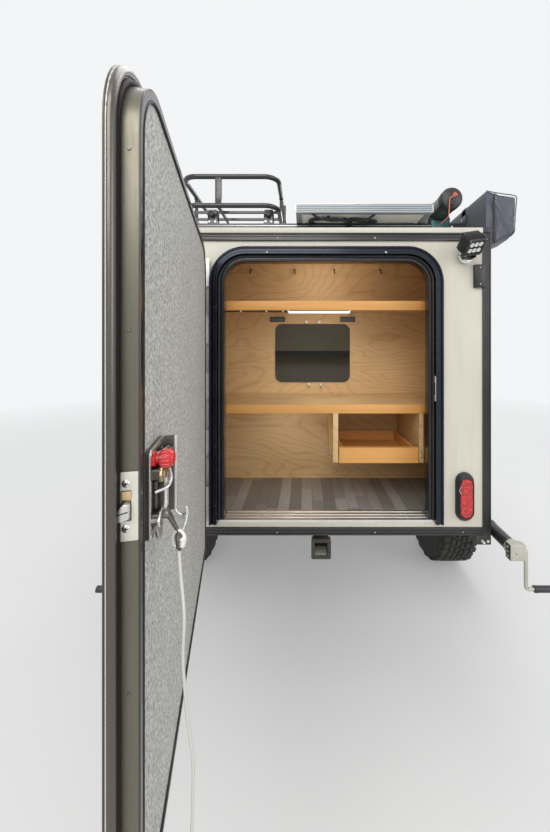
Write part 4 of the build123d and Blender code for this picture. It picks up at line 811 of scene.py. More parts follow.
class TRAILER_OT_stage(bpy.types.Operator):
    """Makes the floor, the studio light, the world and the camera"""
    bl_idname = "trailer.stage"
    bl_label = "Stage"

    PALE = (0.90, 0.91, 0.92, 1)
    REACH = 60
    # The photograph's focal length and height, in its pixels
    FOCUS, HIGH = 330, 832
    # Name, place, aim, width, watts and tone
    STUDIO = (
        ("key", (-0.9, -5.6, 4.4), (0, -1.2, 1.1), 3.4, 160, (1.0, 0.97, 0.93)),
        ("fill", (4.2, -4.2, 2.6), (0, -1.0, 1.0), 3.0, 75, (0.93, 0.96, 1.0)),
        ("top", (0.4, 0.4, 6.0), (0, 0, 1.0), 4.0, 120, (1, 1, 1)),
        ("front", (1.5, 6.5, 3.4), (0, 0.5, 1.0), 3.0, 90, (1, 1, 1)),
    )
    # The same, forward of the rear face
    INSIDE = (
        ("upper shelf", (0, 0.13, 1.78), (0, 0.41, 1.60), 0.16, 0.55, (1.0, 0.96, 0.9)),
        ("galley", (0, 0.16, 1.46), (0, 0.51, 1.14), 0.2, 0.5, (1.0, 0.96, 0.9)),
        ("lower bay", (-0.2, 0.2, 1.03), (-0.1, 0.45, 0.8), 0.2, 0.3, (1.0, 0.96, 0.9)),
        ("cabin", (0.1, 1.3, 1.76), (0, 1.6, 1.0), 0.4, 1.6, (1.0, 0.95, 0.9)),
    )

    def floor(self):
        """A pale floor that fades into the world's colour far out."""
        data = bpy.data.meshes.new("floor")
        square = ((-1, -1), (1, -1), (1, 1), (-1, 1))
        data.from_pydata([(x * self.REACH, y * self.REACH, 0) for x, y in square], [], [(0, 1, 2, 3)])
        obj = bpy.data.objects.new("floor", data)
        bpy.context.scene.collection.objects.link(obj)
        made = bpy.data.materials.new("studio floor")
        made.use_nodes = True
        nodes = made.node_tree.nodes
        g = Graph(made.node_tree, nodes["Principled BSDF"])
        x, y, _ = g.axes()
        far = g.sum("SQRT", g.plus(g.times(x, x), g.times(y, y)))
        base = colour("floor")
        g.put(Base_Color=g.mix(g.noise((1, 1, 1), 2.0, 3.0, 0.5), level(base, 1.03), level(base, 0.97)),
              Roughness=0.85)
        glow = g.node("Emission", {0: self.PALE, 1: 1.0}).outputs[0]
        fade = g.times(g.spread(far, 1.5, 8.5, 0.25, 1.0), seen_rays(g))
        joined = g.node("MixShader", {0: fade, 1: g.shader.outputs[0], 2: glow}).outputs[0]
        g.feed(nodes["Material Output"].inputs["Surface"], joined)
        data.materials.append(made)

    def world(self):
        """Pale where it is seen, plain soft light elsewhere."""
        made = bpy.data.worlds.new("studio")
        bpy.context.scene.world = made
        made.use_nodes = True
        nodes = made.node_tree.nodes
        g = Graph(made.node_tree)
        g.feed(nodes["Background"].inputs[0], (0.95, 0.97, 1.0, 1))
        g.feed(nodes["Background"].inputs[1], 0.62)
        pale = g.node("Background", {0: self.PALE, 1: 1.0}).outputs[0]
        joined = g.node("MixShader", {0: seen_rays(g), 1: nodes["Background"].outputs[0], 2: pale}).outputs[0]
        g.feed(nodes["World Output"].inputs["Surface"], joined)

    def lamp(self, name, where, aim, wide, watts, tone):
        """A square soft lamp that points at a place."""
        data = bpy.data.lights.new(name, "AREA")
        data.shape = "SQUARE"
        data.size = wide
        data.energy = watts
        data.color = tone
        obj = bpy.data.objects.new(name, data)
        obj.location = where
        obj.rotation_euler = (Vector(aim) - Vector(where)).to_track_quat("-Z", "Y").to_euler()
        obj.visible_camera = False
        bpy.context.scene.collection.objects.link(obj)

    def camera(self):
        """The photograph's viewpoint: level, close behind the trailer, with its frame shifted."""
        data = bpy.data.cameras.new("camera")
        data.sensor_fit = "AUTO"
        data.sensor_width = 36
        data.lens = 36 * self.FOCUS / self.HIGH
        data.shift_x = -30 / self.HIGH
        data.shift_y = -69 / self.HIGH
        data.clip_start = 0.05
        obj = bpy.data.objects.new("camera", data)
        obj.location = (-0.086, (REAR - 1353) * MM, 1.400)
        obj.rotation_euler = (radians(90), 0, 0)
        bpy.context.scene.collection.objects.link(obj)
        bpy.context.scene.camera = obj

    def execute(self, context):
        context.scene.view_settings.view_transform = "Standard"
        self.camera()
        self.world()
        self.floor()
        for row in self.STUDIO:
            self.lamp(*row)
        rear = Vector((0, REAR * MM, 0))
        for name, where, aim, *rest in self.INSIDE:
            self.lamp(name, rear + Vector(where), rear + Vector(aim), *rest)
        return {"FINISHED"}


class TRAILER_OT_door_cord(bpy.types.Operator):
    """Makes the cord that hangs from the rear door's ring, with its knot"""
    bl_idname = "trailer.door_cord"
    bl_label = "Door cord"

    # Along the door, away from its face, and up
    POINTS = (
        (898, 38, 1125.2), (898, 40, 1090), (899, 44, 1054), (899, 45.5, 1027), (898, 43.5, 995),
        (899, 43.5, 966), (899, 45.5, 938), (899, 49, 892), (900, 54.5, 857), (901, 57.5, 825),
        (901, 56.5, 781), (900, 55.2, 738), (900, 54.7, 721),
    )

    def knot(self, radius):
        """A stopper knot: the cord's own thickness wound over itself below its end."""
        s, off, z = self.POINTS[-1]
        piece = Piece("cord_stopper_knot", "rear_door", DOOR)
        piece.pipe(knotted((s, z - 5.3, off), 1.7, 1.9, 1.1, 64), radius * 0.86, "cord", 10, closed=True)
        tail = [(s, z + 1.0, off), (s, z - 4.0, off), (s + 1.0, z - 8.0, off), (s + 1.6, z - 9.6, off + 0.4)]
        piece.pipe(tail, radius * 0.8, "cord", 10)
        obj = piece.done()
        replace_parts(obj, "cord_knot")
        return obj

    def execute(self, context):
        diameter = size("cord_diameter") * MM
        data = bpy.data.curves.new("hanging_cord", "CURVE")
        data.dimensions = "3D"
        spline = data.splines.new("NURBS")
        spline.points.add(len(self.POINTS) - 1)
        places = [DOOR @ Vector((s, z, off)) for s, off, z in self.POINTS]
        for point, here in zip(spline.points, places):
            point.co = (*here, 1)
        spline.order_u = 3
        spline.use_endpoint_u = True
        spline.resolution_u = 6
        data.bevel_depth = diameter / 2
        data.bevel_resolution = 3
        data.use_fill_caps = True
        data.materials.append(FINISH["cord"])
        obj = bpy.data.objects.new("hanging_cord", data)
        context.scene.collection.objects.link(obj)
        knot = self.knot(diameter / MM / 2)
        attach(obj, "rear_door")
        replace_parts(obj, "door_cord")
        return {"FINISHED"}


# Rear of the body

def lifted(outline, high):
    """An outline at a height."""
    return [(a, b, high) for a, b in outline]


def swept(section, line, *given):
    """A section's points, each an inset and a height, carried along the line drawn in by that inset."""
    return [lifted(line(inset, *given), high) for inset, high in section]


def drawn_in(inset, a, b, radius, steps=10):
    """A round-cornered rectangle drawn in by an inset."""
    return rounded((a[0] + inset, a[1] - inset), (b[0] + inset, b[1] - inset), radius - inset, steps)


def arch(inset, foot, steps=14):
    """The rear opening's line: up the left side, over the top and down the right one."""
    half = FRAME_HALF - inset
    radius = FRAME_RADIUS - inset
    points = [(-half, foot)]
    for x, start in ((radius - half, 180), (half - radius, 90)):
        for step in range(steps + 1):
            angle = radians(start - 90 * step / steps)
            points.append((x + radius * cos(angle), FRAME_TOP - inset - radius + radius * sin(angle)))
    return points + [(half, foot)]


def profile_line(inset):
    """The body's side view as forward and up, drawn in by an inset."""
    points = [(inset, BODY_FOOT + inset), (inset, BODY_TOP - inset)]
    front = BODY_LONG - inset
    nose, foot = (90, 20, 700 - inset, BODY_TOP - 700), (0, 6, 60 - inset, BODY_FOOT + 60)
    for start, steps, radius, z in (nose, foot):
        for step in range(steps + 1):
            angle = radians(start - 90 * step / steps)
            points.append((front - radius + radius * cos(angle), z + radius * sin(angle)))
    return points


class TRAILER_OT_rear_frame(bpy.types.Operator):
    """Makes the bulb seal, the beads, the strike plate and the screws of the rear opening"""
    bl_idname = "trailer.rear_frame"
    bl_label = "Rear opening"

    LIP = ((47.0, 3.0), (53.5, 3.0), (54.5, 4.4), (53.5, 6.2), (50.0, 5.2), (47.0, 5.2))

    def execute(self, context):
        seal = Piece("rear_opening_seal", where=REAR_FACE)
        for section in (circle(36.0, 6.6, size("seal_radius"), 12), self.LIP):
            seal.skin(swept(section, arch, SILL_TOP + 2), "rubber", loop=False, around=True)
        seal.done()

        beads = Piece("rear_opening_beads", where=REAR_FACE)
        for inset, high, radius in ((4.0, 25.8, 2.6), (29.6, 24.4, 1.5), (20.5, 24.2, 1.2)):
            rows = swept(circle(inset, high, radius, 8), arch, FRAME_FOOT + 1)
            beads.skin(rows, "frame blue", loop=False, around=True)
        beads.done()

        fixings = Piece("rear_opening_fixings", where=REAR_FACE)
        for sign in (-1, 1):
            fixings.screw(sign * 240, FRAME_TOP - 24.5, 24.4, 4.2)
            for z in (760, 1000, 1560):
                fixings.screw(sign * (FRAME_HALF - 24.5), z, 24.4, 3.4, "frame blue")
        fixings.done()

        strike = Piece("strike_plate", where=REAR_FACE)
        inner = FRAME_HALF - 31
        strike.box((inner - 2.2, inner), (1181, 1282), (4, 24), "strike", 0.6)
        # The plate's hole is a black sheet of painted shade.
        strike.box((inner - 2.5, inner - 2.1), (1206, 1256), (8, 20), "recess shade", 0)
        for z in (1192, 1271):
            strike.lathe((inner - 2.2, z, 14), "a", [(0, -0.9), (3.4, -0.7), (4.2, 0), (0, 0.2)], steps=14)
        strike.done()
        return {"FINISHED"}


class TRAILER_OT_body_trims(bpy.types.Operator):
    """Makes the ribs on the corner trims, the roof lip and the rear trims' screws"""
    bl_idname = "trailer.body_trims"
    bl_label = "Body trims"

    # Where a rib starts and ends across its trim, and how proud it stands
    SIDE_RIBS = ((0.5, 5, 2.4), (10, 13.5, 1.4), (19, 22.5, 1.4), (28, 32, 1.8))
    UPRIGHT_RIBS = ((0, 6.5, 6.5), (10.5, 14.5, 5.0), (18.5, 22.5, 5.0), (27, 32, 5.8))
    TOP_RIBS = ((-26.5, -22, 8.5), (-37, -33, 5.0), (-54, -46, 8.0))
    FOOT_RIBS = ((26, 32, 6.5), (15, 20, 5.5), (3, 9, 6.5))
    ROOF_LIP = ((-1, -1), (6.5, -1), (7.5, 2), (7.5, 17), (5, 21), (-1, 22.4))

    def execute(self, context):
        ribs = Piece("side_trim_ribs")
        for sign in (-1, 1):
            for near, far, proud in self.SIDE_RIBS:
                face, out = TRIM_OUT - 0.2, TRIM_OUT + proud
                section = ((near, face), (near + 0.7, out), (far - 0.7, out), (far, face))
                ribs.skin([[(sign * x, d, z) for d, z in profile_line(inset)] for inset, x in section],
                          "trim", around=True)
        ribs.done()

        back = Piece("rear_trim_ribs", where=REAR_FACE)
        for sign in (-1, 1):
            for near, far, high in self.UPRIGHT_RIBS:
                back.box((sign * (TRIM_OUT - near), sign * (TRIM_OUT - far)), (BODY_FOOT + 2, BODY_TOP - 22),
                         (2.6, high), "trim")
        for edge, found in ((BODY_TOP, self.TOP_RIBS), (BODY_FOOT, self.FOOT_RIBS)):
            for low, top, high in found:
                back.box(span(0, TRIM_OUT - 33), (edge + low, edge + top), (2.6, high), "trim")
        for x in (-560, -200, 200, 560):
            for z in (BODY_TOP - 41.5, BODY_FOOT + 12):
                back.screw(x, z, 3.0, 3.2)
        back.done()

        lip = Piece("roof_lip", where=REAR_FACE)
        wide = TRIM_OUT - 34
        rows = [[(x, BODY_TOP - 21 + z, c) for c, z in self.ROOF_LIP] for x in (-wide, wide)]
        lip.skin(rows, "cream", bevel=0.8)
        for sign in (-1, 1):
            lip.box((sign * wide, sign * TRIM_OUT), (BODY_TOP - 22, BODY_TOP + 1.5), (0, 8),
                    "black plastic", 2.2)
        lip.done()

        panel = Piece("lamp_wiring_box", where=REAR_FACE)
        panel.box((603, 646), (1642, 1736), (0, 15), "black plastic", 3.0)
        panel.box((607, 642), (1648, 1730), (14, 17.5), "black plastic", 1.5)
        for z in (1655, 1723):
            panel.screw(624.5, z, 17.3, 2.8)
        panel.done()
        return {"FINISHED"}


class TRAILER_OT_tail_lamps(bpy.types.Operator):
    """Makes the bezels, lenses, lamp dots and screws of both tail lamps"""
    bl_idname = "trailer.tail_lamps"
    bl_label = "Tail lamps"

    # Half width, half height and how far out
    BEZEL = ((36.8, 98.0, 6.6), (36.8, 98.0, 9.0), (34.0, 95.4, 13.0), (30.2, 84.0, 24.0), (28.7, 82.5, 26.4),
             (26.4, 80.2, 26.4), (25.4, 79.3, 22.3))
    LENS = ((25, 79, 19), (25, 79, 24.5), (22, 76, 27.5))
    DOT = ((5.6, 0), (5.2, 1.0), (3.0, 1.7), (0, 1.9))

    def execute(self, context):
        low, high = corners("tail_lamps")
        middle = (low.z + high.z) / 2
        for sign, name in SIDES:
            x = sign * (high.x - 37)

            def rows(sizes):
                return [lifted(rounded(span(x, w), span(middle, h), w - 0.1, 10), c) for w, h, c in sizes]

            lamp = Piece(f"tail_lamp_{name}_lens", where=REAR_FACE)
            lamp.skin(rows(self.LENS), "red lens")
            for row in range(9):
                for column in range(3 - row % 2):
                    across = (column - (0.5 if row % 2 else 1)) * 13.5
                    lamp.lathe((x + across, middle + (row - 4) * 14.5, 27.2), "c", self.DOT, "red lens", 6)
            lamp.done()

            rim = Piece(f"tail_lamp_{name}_bezel", where=REAR_FACE)
            rim.skin(rows(self.BEZEL), "black plastic", around=True)
            turns = [radians(120 + 120 * step / 14) for step in range(15)]
            arc = [(x + 29.6 * cos(t), middle + 34 + 20.9 * sin(t), 25.2) for t in turns]
            rim.pipe(arc, 1.5, "silver", 8)
            rim.screw(x - 1, middle + 91.5, 9.2, 3.4)
            rim.screw(x + 1, middle - 91.5, 9.2, 3.4)
            rim.done()
        return {"FINISHED"}


class TRAILER_OT_work_lamp(bpy.types.Operator):
    """Makes the fins, reflectors, bracket and screws of the work lamp"""
    bl_idname = "trailer.work_lamp"
    bl_label = "Work lamp"

    PLACE = (560, -68, 1803)
    FOOT = (568, 1767)
    REFLECTOR = ((10.3, 2.4), (10.3, 0.6), (8.6, -0.4), (7.6, 0.8), (3.4, 1.9), (0, 1.9))
    BASE = ((0, 0), (27, 0), (27.5, 1), (27.5, 11), (24, 13.5), (12, 15), (0, 15))

    def body(self):
        turn = Matrix.Rotation(radians(48), 4, "X") @ Matrix.Rotation(radians(15), 4, "Z")
        where = BODY @ Matrix.Translation(self.PLACE) @ turn @ Matrix.Scale(0.87, 4)
        lamp = Piece("work_lamp_body", where=where)
        lamp.box(span(0, 41.8), (-33, 22), span(0, 38.5), "black plastic", 4.0)
        for row in range(9):
            lamp.box(span(9 * row - 36, 1.3), (20, 34), (-34, 37), "black plastic", 0.5)
        for row in range(11):
            lamp.box(span(7.6 * row - 38, 1.3), (-28, 33), (37.5, 42.5), "black plastic", 0.5)
        for row in range(7):
            for sign in (-1, 1):
                lamp.box((sign * 41.5, sign * 44), (-20, 30), span(10 * row - 30, 1.5), "black plastic", 0.5)
        outer = rounded(span(0, 43.5), span(0, 40), 6, 4)
        inner = rounded(span(0, 34), span(0, 30.5), 4, 4)
        rows = [[(a, y, b) for a, b in outline]
                for outline, y in ((outer, -32), (outer, -37.5), (inner, -37.5), (inner, -33))]
        lamp.skin(rows, "black plastic", around=True, bevel=0.8)
        for x in (-22, 0, 22):
            for z in (-14.5, 14.5):
                lamp.lathe((x, -36.2, z), "b", self.REFLECTOR, "led reflector", 18)
                lamp.lathe((x, -35.2, z), "b", [(3.6, 1.0), (3.2, -0.8), (0, -1.2)], "panel back", 12)
        # A black sheet of painted shade behind the reflectors.
        lamp.box(span(0, 34), (-33.8, -33.2), span(0, 30.5), "recess shade", 0)
        for x, z in QUARTERS:
            lamp.lathe((x * 39, -37.4, z * 35.5), "b", [(2.4, 0), (2.2, -1.2), (0, -1.5)], steps=12)
        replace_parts(lamp.done(), "work_lamp")

    def execute(self, context):
        self.body()
        foot = Piece("work_lamp_bracket", where=REAR_FACE)
        x, z = self.FOOT
        foot.lathe((x, z, 0), "c", self.BASE, "silver")
        foot.prism([(555, 1756), (581, 1756), (581, 1786), (555, 1786)], (8, 40), "black plastic", 1.5)
        for step in range(3):
            t = tau * step / 3 + 0.5
            foot.screw(x + 19 * cos(t), z + 19 * sin(t), 13.6, 2.6)
        for sign in (-1, 1):
            near, far = x + sign * 13.4, x + sign * 16.4
            foot.prism([(near, 1752), (far, 1752), (far, 1796), (near, 1796)], (8, 62), "black plastic")
            foot.lathe((far, 1774, 48), "a", [(7, 0), (7, 4.5), (0, 4.5)], steps=6, way=sign)
        foot.done()
        return {"FINISHED"}


# Galley

class TRAILER_OT_galley(bpy.types.Operator):
    """Makes the nosings, linings, pads, hooks, catches, light strip and its wire"""
    bl_idname = "trailer.galley"
    bl_label = "Galley"

    HEAD = BODY_TOP - 30
    DEEP = (62, BULKHEAD - 1)
    CLIPS = (-600, -488, -369, -256, -183)
    HOOK = ((1822, 12), (1822, 20), (1814, 22), (1802, 22), (1796, 26), (1797, 34), (1804, 37))
    CATCH = ((0, 0), (8, 0), (8, 2), (4, 3), (3.4, 9), (7.4, 12), (7.4, 16), (5, 18.5), (0, 19))
    # How far out and in the ring reaches, its depths and its finish
    RINGS = ((0.1, 5.0, -12.4, 1.2, "birch lining"), (0.2, 2.2, -9, -7, "tank"),
             (0.2, 2.4, -5, -3, "birch lining"))

    def nosings(self):
        piece = Piece("galley_nosings")
        thin = (GALLEY_FRONT - 2.2, GALLEY_FRONT)
        for heights in ((1562, 1602), (1109, 1148)):
            piece.box(span(0, BODY_HALF - 30.4), thin, heights, "pine", 0.9)
        piece.box((36.5, 59.5), thin, (893, 1109), "birch lining", 0.9)
        piece.done()

        front = Piece("drawer_front", "drawer")
        low, high = corners("drawer")
        front.box((low.x + 2.2, 412), (GALLEY_FRONT - 2.4, GALLEY_FRONT), (low.z, high.z), "pine", 1.2)
        front.done()

        tab = Piece("drawer_slide_tab")
        face = GALLEY_FRONT - 2.6
        tab.box((417.5, 428), (face, GALLEY_FRONT), (912, 938), "silver", 0.8)
        tab.box((419, 426), (face - 3.9, face), (917, 934), "yellow", 1.4)
        tab.lathe((422.5, face, 943), "b", [(0, 0), (2.4, 0), (2, -1.2), (0, -1.4)], steps=12)
        tab.done()

    def linings(self):
        piece = Piece("galley_linings")
        for sign in (-1, 1):
            for heights in ((SILL_TOP, 1109), (1149, 1561), (1603, self.HEAD - 1)):
                piece.box((sign * (INNER_HALF - 4), sign * (INNER_HALF - 0.3)), self.DEEP, heights,
                          "birch lining", 0.6)
        piece.box(span(0, INNER_HALF - 5), self.DEEP, (self.HEAD - 4, self.HEAD - 0.3), "birch lining", 0.6)
        piece.done()

        floor = Piece("galley_floor_sheet")
        floor.box(span(0, INNER_HALF - 4.5), (80, BULKHEAD - 1), (683, 685.6), "vinyl", 0.4)
        for sign in (-1, 1):
            floor.box((sign * (INNER_HALF - 5), sign * (INNER_HALF - 17)), (80, BULKHEAD - 1), (685.6, 700),
                      "birch lining", 1.5)
        floor.box(span(0, INNER_HALF - 17), (BULKHEAD - 12, BULKHEAD - 0.5), (685.6, 700), "birch lining",
                  1.5)
        floor.done()

    def bulkhead_parts(self):
        at = -BULKHEAD
        piece = Piece("bulkhead_fittings", where=REAR_FACE)
        for a, b in ((-278, -196), (106, 188)):
            piece.prism(rounded((a, b), (1537, 1564), 3, 3), (at, at + 7), "black plastic", 1.0)
            piece.prism(rounded((a + 4, b - 4), (1541, 1560), 2, 3), (at + 6.8, at + 8.2), "lining grey", 0.5)
        for x in (-382, -141, 73, 325):
            piece.lathe((x, 1822, at), "c", [(0, 0), (5.5, 0), (5.5, 1.2), (2.9, 1.8), (2.9, 16), (0, 16)],
                        "dark steel", 14)
            piece.pipe(bent([(x, z, at + out) for z, out in self.HOOK], 5), 2.9, "dark steel", 8)
        for x, z in ((-78, 1541), (-7, 1541), (-67, 1191), (0, 1191)):
            piece.lathe((x, z, at), "c", self.CATCH, "silver", 20)
        piece.done()

        ring = Piece("pass_through_edge", where=REAR_FACE)
        opening = ((-256, 166), (1200, 1532), 45)
        for out, into, low, high, finish in self.RINGS:
            ring.band(drawn_in(-out, *opening), drawn_in(into, *opening), (at + low, at + high), finish, 0.4)
        ring.done()

    def light(self):
        piece = Piece("light_strip")
        low, high = corners("light_bar")
        near, far = low.y - REAR, high.y - REAR
        piece.box((low.x + 3, high.x - 3), (near - 1.6, near + 9), (low.z - 2.4, low.z + 8.5), "led", 1.6)
        for x in (low.x + 1.5, high.x - 1.5):
            piece.box(span(x, 2.5), (near - 2, far), (low.z - 3, high.z), "silver")
        piece.done()

        wire = Piece("light_wire")
        run = []
        for first, last in zip(self.CLIPS, self.CLIPS[1:]):
            for t in [step / 6 for step in range(6)]:
                run.append((first + (last - first) * t, 1558.5 - 9 * t * (1 - t)))
        run += [(-183, 1558.5), (-172, 1556.5), (-160, 1555.5)]
        wire.pipe([(x, GALLEY_FRONT + 8, z) for x, z in run], 3.1, "rubber", 8)
        for x in self.CLIPS[1:]:
            wire.box(span(x, 3.5), (GALLEY_FRONT + 3, GALLEY_FRONT + 14), (1555, 1562), "panel back", 1.4)
        wire.done()

    def cabin(self):
        """What shows through the pass-through: the head lining, a lamp, a shelf and the padded front."""
        piece = Piece("cabin_linings")
        head = self.HEAD
        piece.box(span(0, INNER_HALF - 2), (BULKHEAD + 14, 1740), (head - 5, head - 0.5), "lining grey")
        for d in range(640, 1631, 330):
            piece.box(span(0, INNER_HALF - 2), span(d, 14), (head - 9, head - 4.5), "birch lining", 1.5)
        piece.box(span(0, INNER_HALF - 4), (2180, 2400), (1330, 1348), "birch lining", 1.5)
        piece.box(span(0, INNER_HALF - 4), (2168, 2186), (1318, 1360), "lining grey", 2.0)
        piece.done()
        lamp = Piece("cabin_lamp")
        lamp.lathe((-60, 1180, head - 5), "c", [(0, 0), (62, 0), (62, -8), (54, -16), (0, -16)], "silver", 32)
        lamp.lathe((-60, 1180, head - 20.5), "c", [(0, 0), (46, 0), (42, -6), (0, -8)], "led", 32)
        lamp.done()

    def execute(self, context):
        self.nosings()
        self.linings()
        self.bulkhead_parts()
        self.light()
        self.cabin()
        return {"FINISHED"}


# Rear door

LIP = 20
DOOR_ALONG = (70, 940)
DOOR_UP = (630, 1768)
DOOR_RADIUS = 107
# The free side face of the door: across it inwards, up, and away from it
DOOR_EDGE = place([v / MM for v in DOOR @ Vector((DOOR_ALONG[1], 0, 0))], INTO_DOOR, (0, 0, 1), ALONG_DOOR)


def door_line(inset, raised=LIP - 4):
    """The outline of the door's body, drawn in by an inset; parts of the lip run raised along the foot."""
    (near, far), (foot, head) = DOOR_ALONG, DOOR_UP
    foot += raised if inset < 0 else 0
    large = DOOR_RADIUS - inset
    return rounded((near + inset, far - inset), (foot + inset, head - inset), (5, 5, large, large), 12)


class TRAILER_OT_rear_door(bpy.types.Operator):
    """Makes the edges, gasket, beads, latch parts, edge plate and outside fittings of the rear door"""
    bl_idname = "trailer.rear_door"
    bl_label = "Rear door"

    # Sections as insets from the door's outline and heights over its inner face
    FLANGE = ((-12.0, -34.6), (-19.9, -34.6), (-20.7, -33.9), (-20.7, -32.4), (-20.2, -31.7), (-12.0, -31.7))
    OUTER_BEAD = ((-0.7, -1.3), (-0.9, 0.1), (-0.3, 1.0), (0.7, 1.0), (1.3, 0.1), (0.3, -0.1))
    RIM_BAND = ((1.0, -0.1), (1.2, 0.9), (11.8, 0.9), (12.6, -0.1))
    INNER_BEAD = ((12.2, 0.0), (12.7, 1.9), (14.4, 2.2), (16.0, 1.2), (16.3, -1.9), (13.8, -0.2))
    BOLT = ((-23.0, 1192.6), (-9.4, 1196.2), (-9.4, 1213.4), (-15.0, 1214.6), (-19.5, 1211.5),
            (-23.0, 1204.0))
    # The latch's blocks and flat shapes, each with its heights, finish and bevel
    BLOCKS = (
        # The first and third blocks are pale caps over the latch's bars: painted highlight along their faces.
        ((821.0, 833.2), (1147.5, 1262.6), (20.3, 24.0), "bright steel", 1.2),
        ((833.0, 835.6), (1150, 1260), (3.8, 20.8), "dark steel", 0.6),
        ((872.6, 885.4), (1175, 1223.5), (16.2, 20.2), "bright steel", 1.2),
        ((887, 896), (1180, 1218), (4.2, 10), "dark steel", 1.2),
        ((866, 870), (1180, 1218), (4, 15), "steel", 0.8),
    )
    SHAPES = (
        (((824, 1146), (868, 1146), (850, 1118), (838, 1108), (826, 1112)), (0.2, 2.6), "silver", 0.5),
        (((840, 1196), (866, 1204), (866, 1190), (848, 1184), (840, 1184)), (5, 13), "dark steel", 1.2),
        (((867, 1221), (907, 1221), (909, 1230), (903, 1240), (884, 1243), (867, 1238)), (14.4, 19.4),
         "old brass", 1.0),
        (((893, 1222), (908, 1226), (911, 1236), (905, 1239), (896, 1233)), (18.6, 23.0), "old brass", 1.0),
        (((867, 1161), (907, 1161), (909, 1170), (900, 1179), (867, 1179)), (11.8, 16.2), "silver", 1.0),
    )
    # Bent rods: points, bend, radius, finish and sides
    RODS = (
        (((872, 1226, 21), (880, 1216, 26), (893, 1209, 24), (899, 1205, 8)), 6, 2.4, "silver", 10),
        (((850, 1243, 20), (866, 1257, 20), (884, 1256, 15), (890, 1252, 4)), 6, 1.9, "steel", 8),
        (((829, 1150, 20), (830, 1141, 25), (835, 1137, 34), (844, 1141, 40), (850, 1149, 38)), 5, 2.6,
         "silver", 10),
    )
    KNOB = (((0, 3.9), (9.2, 3.9), (10.2, 5.2), (10.2, 8.4), (9.0, 9.8), (6.6, 10.4), (6.4, 13.8), (0, 13.8)),
            ((0, 13.6), (8.8, 13.6), (10.9, 15.6), (11.2, 23), (10.9, 29.4), (9.4, 32.2), (6.0, 33.2),
             (0, 33.4)))
    # A ring of the latch's link: how low it hangs, its reach along and out, its radius and its finish
    LINKS = ((0, 0.35, 0.95, 2.5, "bright steel"), (2, 0.9, 0.45, 2.0, "dark steel"))
    LINK_RODS = ((((870, 1170, 18), (878, 1160, 26), (889, 1147, 33), (895, 1141, 37)), 2.0, 10),
                 (((882, 1178, 18), (889, 1166, 27), (897, 1152, 36)), 1.6, 8))

    def edges(self):
        flange = Piece("rear_door_flange", "rear_door", DOOR)
        flange.skin(swept(self.FLANGE, door_line), "flange edge", around=True)
        flange.skin(swept(circle(-14.9, -27.4, 6.1, 18), door_line), "edge metal", around=True)
        flange.done()
        gasket = Piece("rear_door_gasket", "rear_door", DOOR)
        gasket.skin(swept(circle(-4.6, -24.4, 4.1, 14), door_line), "gasket", around=True)
        gasket.done()
        beads = Piece("rear_door_beads", "rear_door", DOOR)
        beads.skin(swept(self.OUTER_BEAD, door_line, 0), "flange edge", around=True)
        beads.skin(swept(self.RIM_BAND, door_line), "frame blue", around=True)
        beads.skin(swept(self.INNER_BEAD, door_line), "rubber", around=True)
        for z in (700, 980, 1420, 1640):
            beads.lathe((DOOR_ALONG[1] + 0.2, z, -12), "a", [(0, 0), (2.6, 0), (2.2, 0.8), (0, 1.0)],
                        "bronze", 14)
        beads.done()

    def edge_plate(self):
        piece = Piece("latch_edge_plate", "rear_door", DOOR_EDGE)
        outer = rounded((-24.2, -1.2), (1167, 1250), 1.2, 3)
        inner = rounded((-20.8, -8.6), (1191, 1228), 1.6, 3)
        piece.band(outer, inner, (0.6, 3.0), "strike", 0.4)
        # The plate's window is a black sheet of painted shade.
        piece.box((-21.2, -8.2), (1190.6, 1228.4), (0.4, 1.2), "recess shade", 0)
        piece.box((-19.6, -9.2), (1216, 1226), (1.0, 1.9), "birch lining", 0.3)
        piece.prism(self.BOLT, (1.0, 11.0), "silver", 1.0)
        # The bolt's slot is a black sliver of painted shade.
        piece.box((-22.4, -10.2), (1203.2, 1204.6), (10.4, 11.3), "recess shade", 0.1, turn=14)
        for z in (1236.5, 1182.5):
            piece.screw(-14.6, z, 2.9, 4.6)
        piece.done()

    def latch(self):
        piece = Piece("latch_parts", "rear_door", DOOR)
        outer = rounded((821, 914), (1144, 1264), 8, 4)
        inner = rounded((841, 904), (1156, 1252), 6, 4)
        piece.band(outer, inner, (3.6, 5.6), "silver", 0.5)
        piece.prism(rounded((833, 905), (1155, 1253), 4, 3), (3.4, 4.4), "dark steel", 0.2)
        for row in self.BLOCKS:
            piece.box(*row)
        for row in self.SHAPES:
            piece.prism(*row)
        for points, corner, *rest in self.RODS:
            piece.pipe(bent(points, corner), *rest)
        turns = [tau * 7 * step / 84 for step in range(85)]
        piece.pipe([(855 + 3.6 * cos(t), 1166 + 0.9 * t, 8 + 3.6 * sin(t)) for t in turns], 0.8, "steel", 6)
        piece.lathe((899, 1170, 4), "c", [(0, 0), (7.5, 0), (7.5, 7), (5, 9), (0, 9)], "steel", 16)
        for s, z in ((907.5, 1150.5), (907.5, 1257.5), (828, 1150.5)):
            piece.screw(s, z, 4.9, 3.6)
        piece.done()

        knob = Piece("latch_knob", "rear_door", DOOR)
        for profile in self.KNOB:
            knob.lathe((899, 1250, 0), "c", profile, "knob")
        for x, z in circle(899, 1250, 11.1, 12):
            knob.lathe((x, z, 16.5), "c", [(0.4, 0), (1.3, 1), (1.3, 11.5), (0.4, 12.5)], "knob", 8)
        knob.done()

